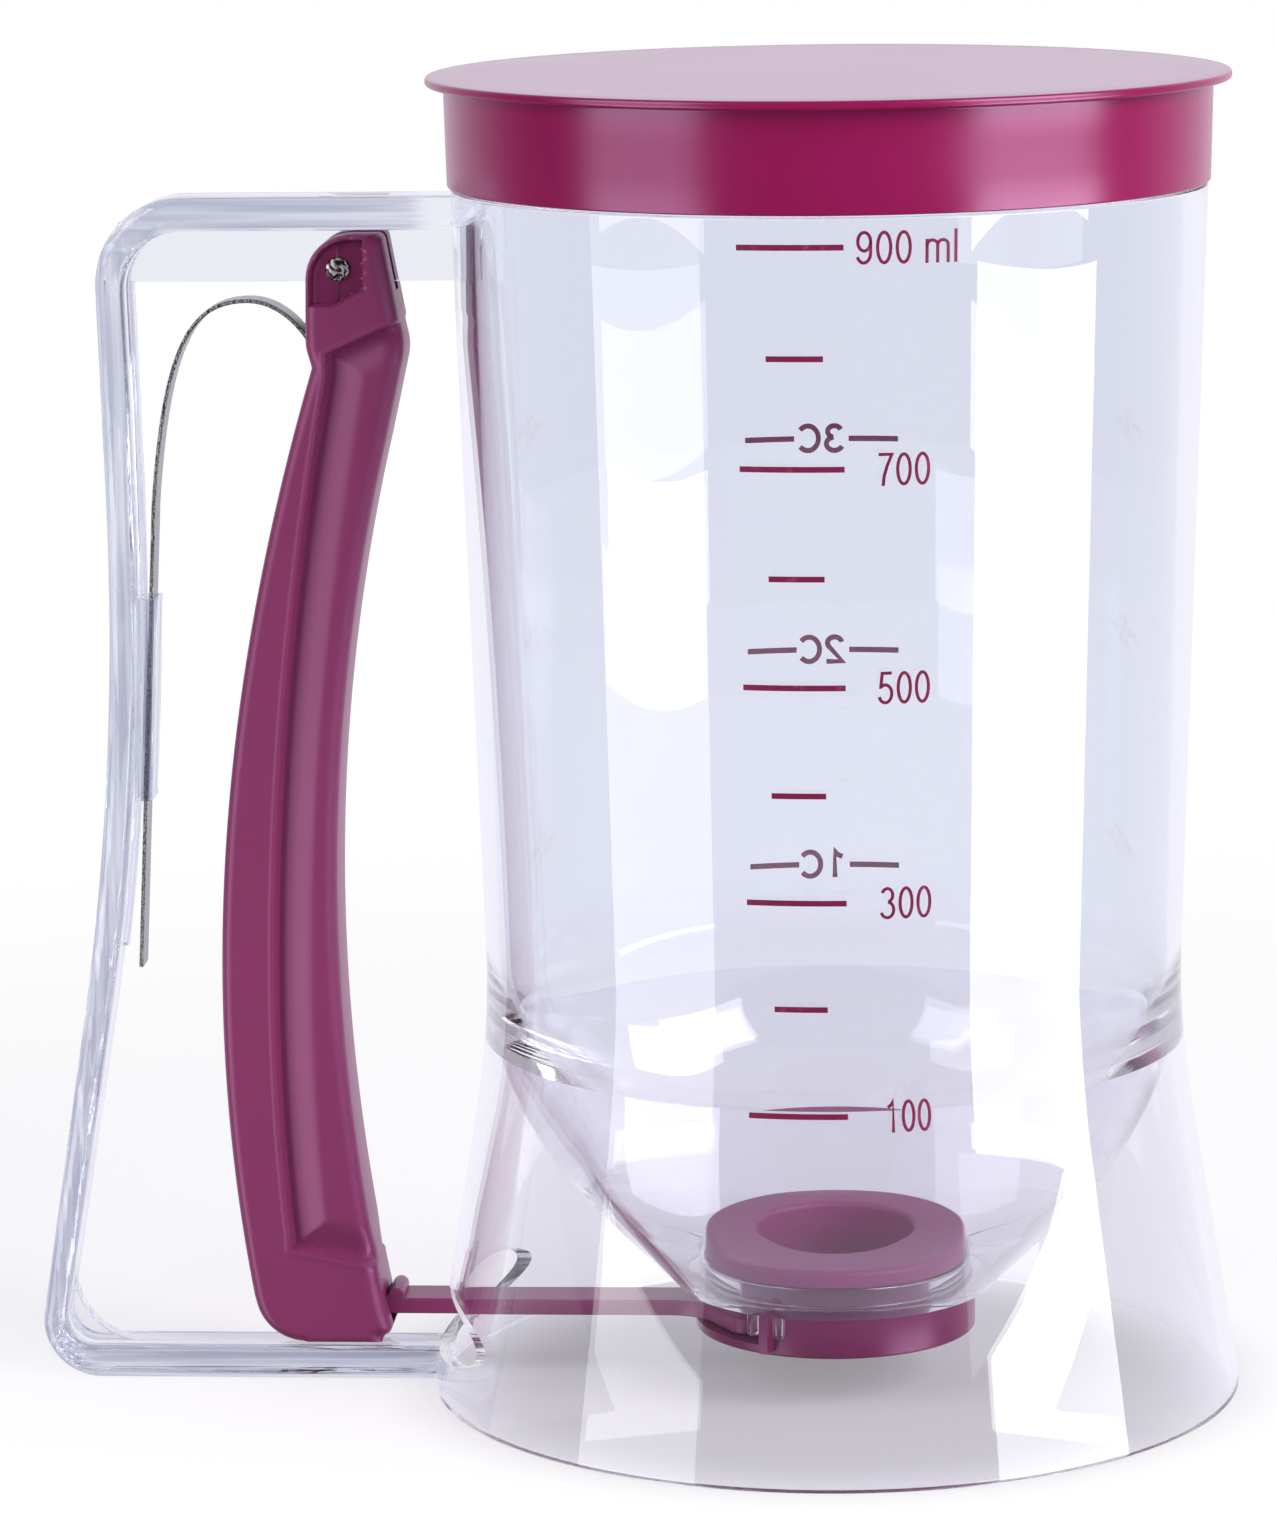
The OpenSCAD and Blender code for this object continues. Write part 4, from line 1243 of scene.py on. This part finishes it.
# Each figure's width and pen strokes, for a height of 1
STROKES = {
    "0": (0.46, [oval((0.23, 0.5), 0.18, 0.455, 90, 450)]),
    "1": (0.46, [[(0.07, 0.78), (0.19, 0.86), (0.25, 1.0), (0.25, 0.0)]]),
    "2": (0.46, [oval((0.23, 0.73), 0.17, 0.225, 170, -30) + [(0.05, 0.045), (0.43, 0.045)]]),
    "3": (0.46, [oval((0.21, 0.745), 0.16, 0.21, 160, -80), oval((0.21, 0.29), 0.19, 0.245, 85, -160)]),
    "5": (0.46, [[(0.40, 0.955), (0.12, 0.955), (0.08, 0.53)]
                 + oval((0.21, 0.32), 0.19, 0.275, 130, -160)]),
    "7": (0.46, [[(0.04, 0.955), (0.42, 0.955), (0.29, 0.62), (0.20, 0.30), (0.17, 0.0)]]),
    "9": (0.46, [oval((0.225, 0.68), 0.175, 0.275, 0, 360),
                 [(0.40, 0.68)] + oval((0.21, 0.36), 0.19, 0.315, 0, -155)]),
    "C": (0.58, [oval((0.30, 0.5), 0.25, 0.455, 42, 318)]),
    "m": (0.74, [[(0.06, 0.0), (0.06, 0.72)], [(0.06, 0.5)] + oval((0.21, 0.53), 0.15, 0.15, 160, 0)
                 + [(0.36, 0.0)], oval((0.51, 0.53), 0.15, 0.15, 180, 0) + [(0.66, 0.0)]]),
    "l": (0.12, [[(0.06, 0.0), (0.06, 1.0)]]),
    " ": (0.20, []),
}
FIGURE_GAP = 0.08


def pen_stroke(path, thickness):
    """The outline of a line of even thickness along a path, with flat ends"""
    left = []
    right = []
    closed = (path[0] - path[-1]).length < 1e-6
    for i, p in enumerate(path):
        before = path[i - 1] if i else (path[-2] if closed else p)
        after = path[i + 1] if i < len(path) - 1 else (path[1] if closed else p)
        arrive = (p - before).normalized() if p != before else (after - p).normalized()
        leave = (after - p).normalized() if p != after else arrive
        run = (arrive + leave).normalized()
        normal = Vector((-run.y, run.x)) * thickness / 2 / max(0.6, run.dot(leave))
        left.append(p + normal)
        right.append(p - normal)
    return left + right[::-1]


def printed_text(words, azimuth, height, width, tall, stroke):
    """Printed figures that start at an azimuth and stand on a height"""
    total = sum(STROKES[letter][0] + FIGURE_GAP for letter in words) - FIGURE_GAP
    across = width / total
    pieces = []
    x = 0.0
    for letter in words:
        letter_width, paths = STROKES[letter]
        for path in paths:
            drawn = [Vector(((x + u) * across, v * tall)) for u, v in path]
            outline = pen_stroke(drawn, stroke)
            half = len(outline) // 2
            left, right = outline[:half], outline[half:][::-1]
            points = [(*p, w) for a, b in zip(left, right)
                      for p, w in ((a, 0), (b, 0), (b, INK_T), (a, INK_T))]
            faces = closed_rows((half, 4)) + [(0, 1, 2, 3), tuple(range(len(points) - 4, len(points)))]
            pieces.append(mesh_object("figures", points, faces))
        x += letter_width + FIGURE_GAP
    return [wrap_on_cup(piece, azimuth, height) for piece in pieces]


def join_prints(name, pieces):
    """One piece from several"""
    merged = bmesh.new()
    for piece in pieces:
        merged.from_mesh(piece.data)
        bpy.data.objects.remove(piece)
    mesh = bpy.data.meshes.new(name)
    merged.to_mesh(mesh)
    merged.free()
    whole = add_object(name, mesh)
    whole.data.materials.append(INK)
    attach(whole, "cup")
    return whole


def millilitre_scale():
    """Long lines with figures each 200 ml from 100 to 900, and short lines between them"""
    prints = [printed_lines(-3.6, LINE_LOW_Z, 9, LINE_L, SHORT_LINE_L / LINE_L, 0.45)]
    figures = {100: (10.0, 6.05), 300: (9.3, 6.75), 500: (9.0, 6.8), 700: (8.9, 6.9), 900: (5.9, 13.2)}
    for volume, (azimuth, width) in figures.items():
        z = LINE_LOW_Z + LINE_PITCH * (volume / 100 - 1) - FIGURE_DROP
        words = f"{volume} ml" if volume == 900 else str(volume)
        prints += printed_text(words, azimuth, z, width, FIGURE_H, FIGURE_PEN)
    return join_prints("millilitre_scale", prints)


def cup_scale():
    """The cup measures on the far side: a line, a figure and C, and a line"""
    prints = []
    for cups, z in CUPS_HEIGHTS.items():
        prints += [printed_lines(azimuth, z, 1, CUPS_LINE_L, stroke=CUPS_LINE_T)
                   for azimuth in (174.5, 192.4)]
        prints += printed_text(f"{cups}C", 179.7, z - CUPS_FIGURE_DROP, CUPS_FIGURE_W, CUPS_FIGURE_H,
                               CUPS_FIGURE_PEN)
    return join_prints("cup_scale", prints)


clear_moulding()
lid()
trigger()
pivot_pin()
leaf_spring()
gate()
valve_housing()
seat_ring()
millilitre_scale()
cup_scale()


# ---- Stage ----
TABLE_R = 900.0
TABLE_TONE = 0.5
SHADOWED_GLOW_UNDER = 0.27                          # the table's glow under the part, held low there as a painted shadow, and beyond it
GLOW_BEYOND = 0.58
DAYLIGHT = 0.35                            # brightness of the room where it lights the part
SEEN_IN_FRONT = 0.42                       # and in front of the part, as the clear walls pass it on
MIRRORED_IN_FRONT = 0.08                   # and as they mirror it
WALL_BOUNCES = 128
# Lamps: their distance from the cup and the heights of their parts, in metres. The cup's wall mirrors
# the part below WALL_LAMP_TOP, and the flared skirt the next part, up to SKIRT_LAMP_TOP.
LAMP_AWAY = 0.9
LAMP_FOOT = -0.7
WALL_LAMP_TOP = 0.04
SKIRT_LAMP_TOP = 0.22
HIDDEN_TOP = 0.46
LAMP_TOP = 0.9
# Camera: its place in metres, its turn in degrees and its lens in millimetres
CAMERA_PLACE = (0.0285, -0.8156, 0.2385)
CAMERA_YAW = 3.861
CAMERA_DIP = 10.59
CAMERA_ROLL = 0.72
CAMERA_LENS = 141.73
SENSOR_W = 36.0


def floor():
    """A round white table top that keeps the part's shadow, with a painted shadow where its glow is lower
    under the part, and is plain white further away
    """
    material, shader = new_material("table_white")
    path = shader.add("ShaderNodeLightPath")
    place = shader.add("ShaderNodeTexCoord")
    away = shader.add("ShaderNodeVectorMath", {"operation": "LENGTH"},
                      Vector=shader.out(place, "Object"))
    lights_part = shader.out(path, "Is Diffuse Ray")
    table = shader.add("ShaderNodeBsdfDiffuse", Color=tone(TABLE_TONE, TABLE_TONE, TABLE_TONE))
    # Painted shadow: the table glows less under the part than beyond it, as though the skirt kept the
    # light off
    glow = shader.range(shader.out(away, "Value"), 0.7 * BASE_R * MM, 1.2 * BASE_R * MM,
                        SHADOWED_GLOW_UNDER, GLOW_BEYOND)
    near_glow = shader.add("ShaderNodeEmission", Color=tone(1, 1, 1), Strength=glow * (1.0 - lights_part))
    near = shader.add("ShaderNodeAddShader")
    shader.feed(near.inputs[0], table)
    shader.feed(near.inputs[1], near_glow)
    far = shader.add("ShaderNodeEmission", Color=tone(1, 1, 1), Strength=1.0 - 0.5 * lights_part)
    mixed = shader.add("ShaderNodeMixShader", Fac=shader.range(shader.out(away, "Value"), 0.15, 0.4))
    shader.feed(mixed.inputs[1], near)
    shader.feed(mixed.inputs[2], far)
    shader.add("ShaderNodeOutputMaterial", Surface=mixed)
    rim = [plan(p.x, p.y, -0.05) for p in circle(AXIS, TABLE_R, 96)]
    table_top = mesh_object("table_top", rim, [tuple(range(len(rim)))])
    if table_top.data.polygons[0].normal.z < 0:
        table_top.data.flip_normals()
    table_top.data.materials.append(material)
    table_top.visible_glossy = False


def world():
    """White behind the part, and a plain room round it for its reflections"""
    room = bpy.data.worlds.new("studio")
    bpy.context.scene.world = room
    shader = Shader(room)
    path = shader.add("ShaderNodeLightPath")
    direction = shader.out(shader.add("ShaderNodeTexCoord"), "Generated")
    axes = shader.add("ShaderNodeSeparateXYZ", Vector=direction)
    seen = shader.out(path, "Is Camera Ray")
    passed = shader.out(path, "Is Transmission Ray")
    bounced = shader.out(path, "Is Glossy Ray")
    through = shader.range(shader.out(axes, "Y"), -0.3, 0.85, SEEN_IN_FRONT, 1.0)
    mirrored = shader.range(shader.out(axes, "Y"), 0.0, 0.95, MIRRORED_IN_FRONT, 1.0)
    around = DAYLIGHT + bounced * (mirrored - DAYLIGHT)
    behind = around + passed * (through - around)
    white = shader.maths("MAXIMUM", seen, passed * through)
    colour = shader.blend(white, tone(0.92, 0.89, 1.0), tone(1, 1, 1))
    sky = shader.add("ShaderNodeBackground", Color=colour, Strength=behind + seen * (1.0 - behind))
    shader.add("ShaderNodeOutputWorld", Surface=sky)


def soft_box(name, azimuths, heights, strength, through=True):
    """An upright studio lamp beside the part, from one azimuth to another, of a plain brightness.
    Unless it is through, it doesn't show through the clear walls."""
    first, last = (math.radians(a) for a in azimuths)
    ends = [Vector((math.sin(a), -math.cos(a))) * LAMP_AWAY for a in (first, last)]
    middle = (ends[0] + ends[1]) / 2
    lamp = bpy.data.lights.new(name, "AREA")
    lamp.shape = "RECTANGLE"
    lamp.size = (ends[1] - ends[0]).length
    lamp.size_y = heights[1] - heights[0]
    lamp.energy = strength * math.pi * lamp.size * lamp.size_y
    stand = add_object(name, lamp)
    stand.visible_transmission = through
    stand.location = (middle.x, middle.y, (heights[0] + heights[1]) / 2)
    stand.rotation_euler = Vector((-middle.x, -middle.y, 0)).to_track_quat("-Z", "Y").to_euler()


def camera():
    """A long lens that looks slightly down on the part"""
    yaw, dip, roll = (math.radians(a) for a in (CAMERA_YAW, CAMERA_DIP, CAMERA_ROLL))
    forward = Vector((-math.sin(yaw) * math.cos(dip), math.cos(yaw) * math.cos(dip), -math.sin(dip)))
    right = Vector((math.cos(yaw), math.sin(yaw), 0))
    up = right.cross(forward)
    turned = Matrix.Identity(4)
    turned.col[0][:3] = right * math.cos(roll) - up * math.sin(roll)
    turned.col[1][:3] = right * math.sin(roll) + up * math.cos(roll)
    turned.col[2][:3] = -forward
    lens = bpy.data.cameras.new("camera")
    lens.lens = CAMERA_LENS
    lens.sensor_width = SENSOR_W
    view = add_object("camera", lens)
    view.matrix_world = Matrix.Translation(CAMERA_PLACE) @ turned
    bpy.context.scene.camera = view


def side_lamps(side_name, wall_span, skirt_span, strength, middle_strength):
    """One side's lamps. The clear walls mirror the two in the middle but don't show them from
    behind, where they would be hard white bars."""
    soft_box(side_name + "_low", wall_span, (LAMP_FOOT, WALL_LAMP_TOP), strength)
    soft_box(side_name + "_middle", skirt_span, (WALL_LAMP_TOP, SKIRT_LAMP_TOP), middle_strength,
             through=False)
    soft_box(side_name + "_high", skirt_span, (SKIRT_LAMP_TOP, HIDDEN_TOP), strength, through=False)
    soft_box(side_name + "_top", skirt_span, (HIDDEN_TOP, LAMP_TOP), strength)


def light_paths():
    """Enough bounces for light that runs along inside the clear walls, where it would go dark"""
    cycles = bpy.context.scene.cycles
    cycles.max_bounces = WALL_BOUNCES
    cycles.glossy_bounces = WALL_BOUNCES
    cycles.transmission_bounces = WALL_BOUNCES
    cycles.transparent_max_bounces = 24


floor()
world()
side_lamps("left", (-36, -72), (-36, -72), 3.6, 1.5)
side_lamps("right", (46, 88), (40, 82), 7.2, 1.7)
camera()
light_paths()
bpy.context.scene.view_settings.view_transform = "Standard"
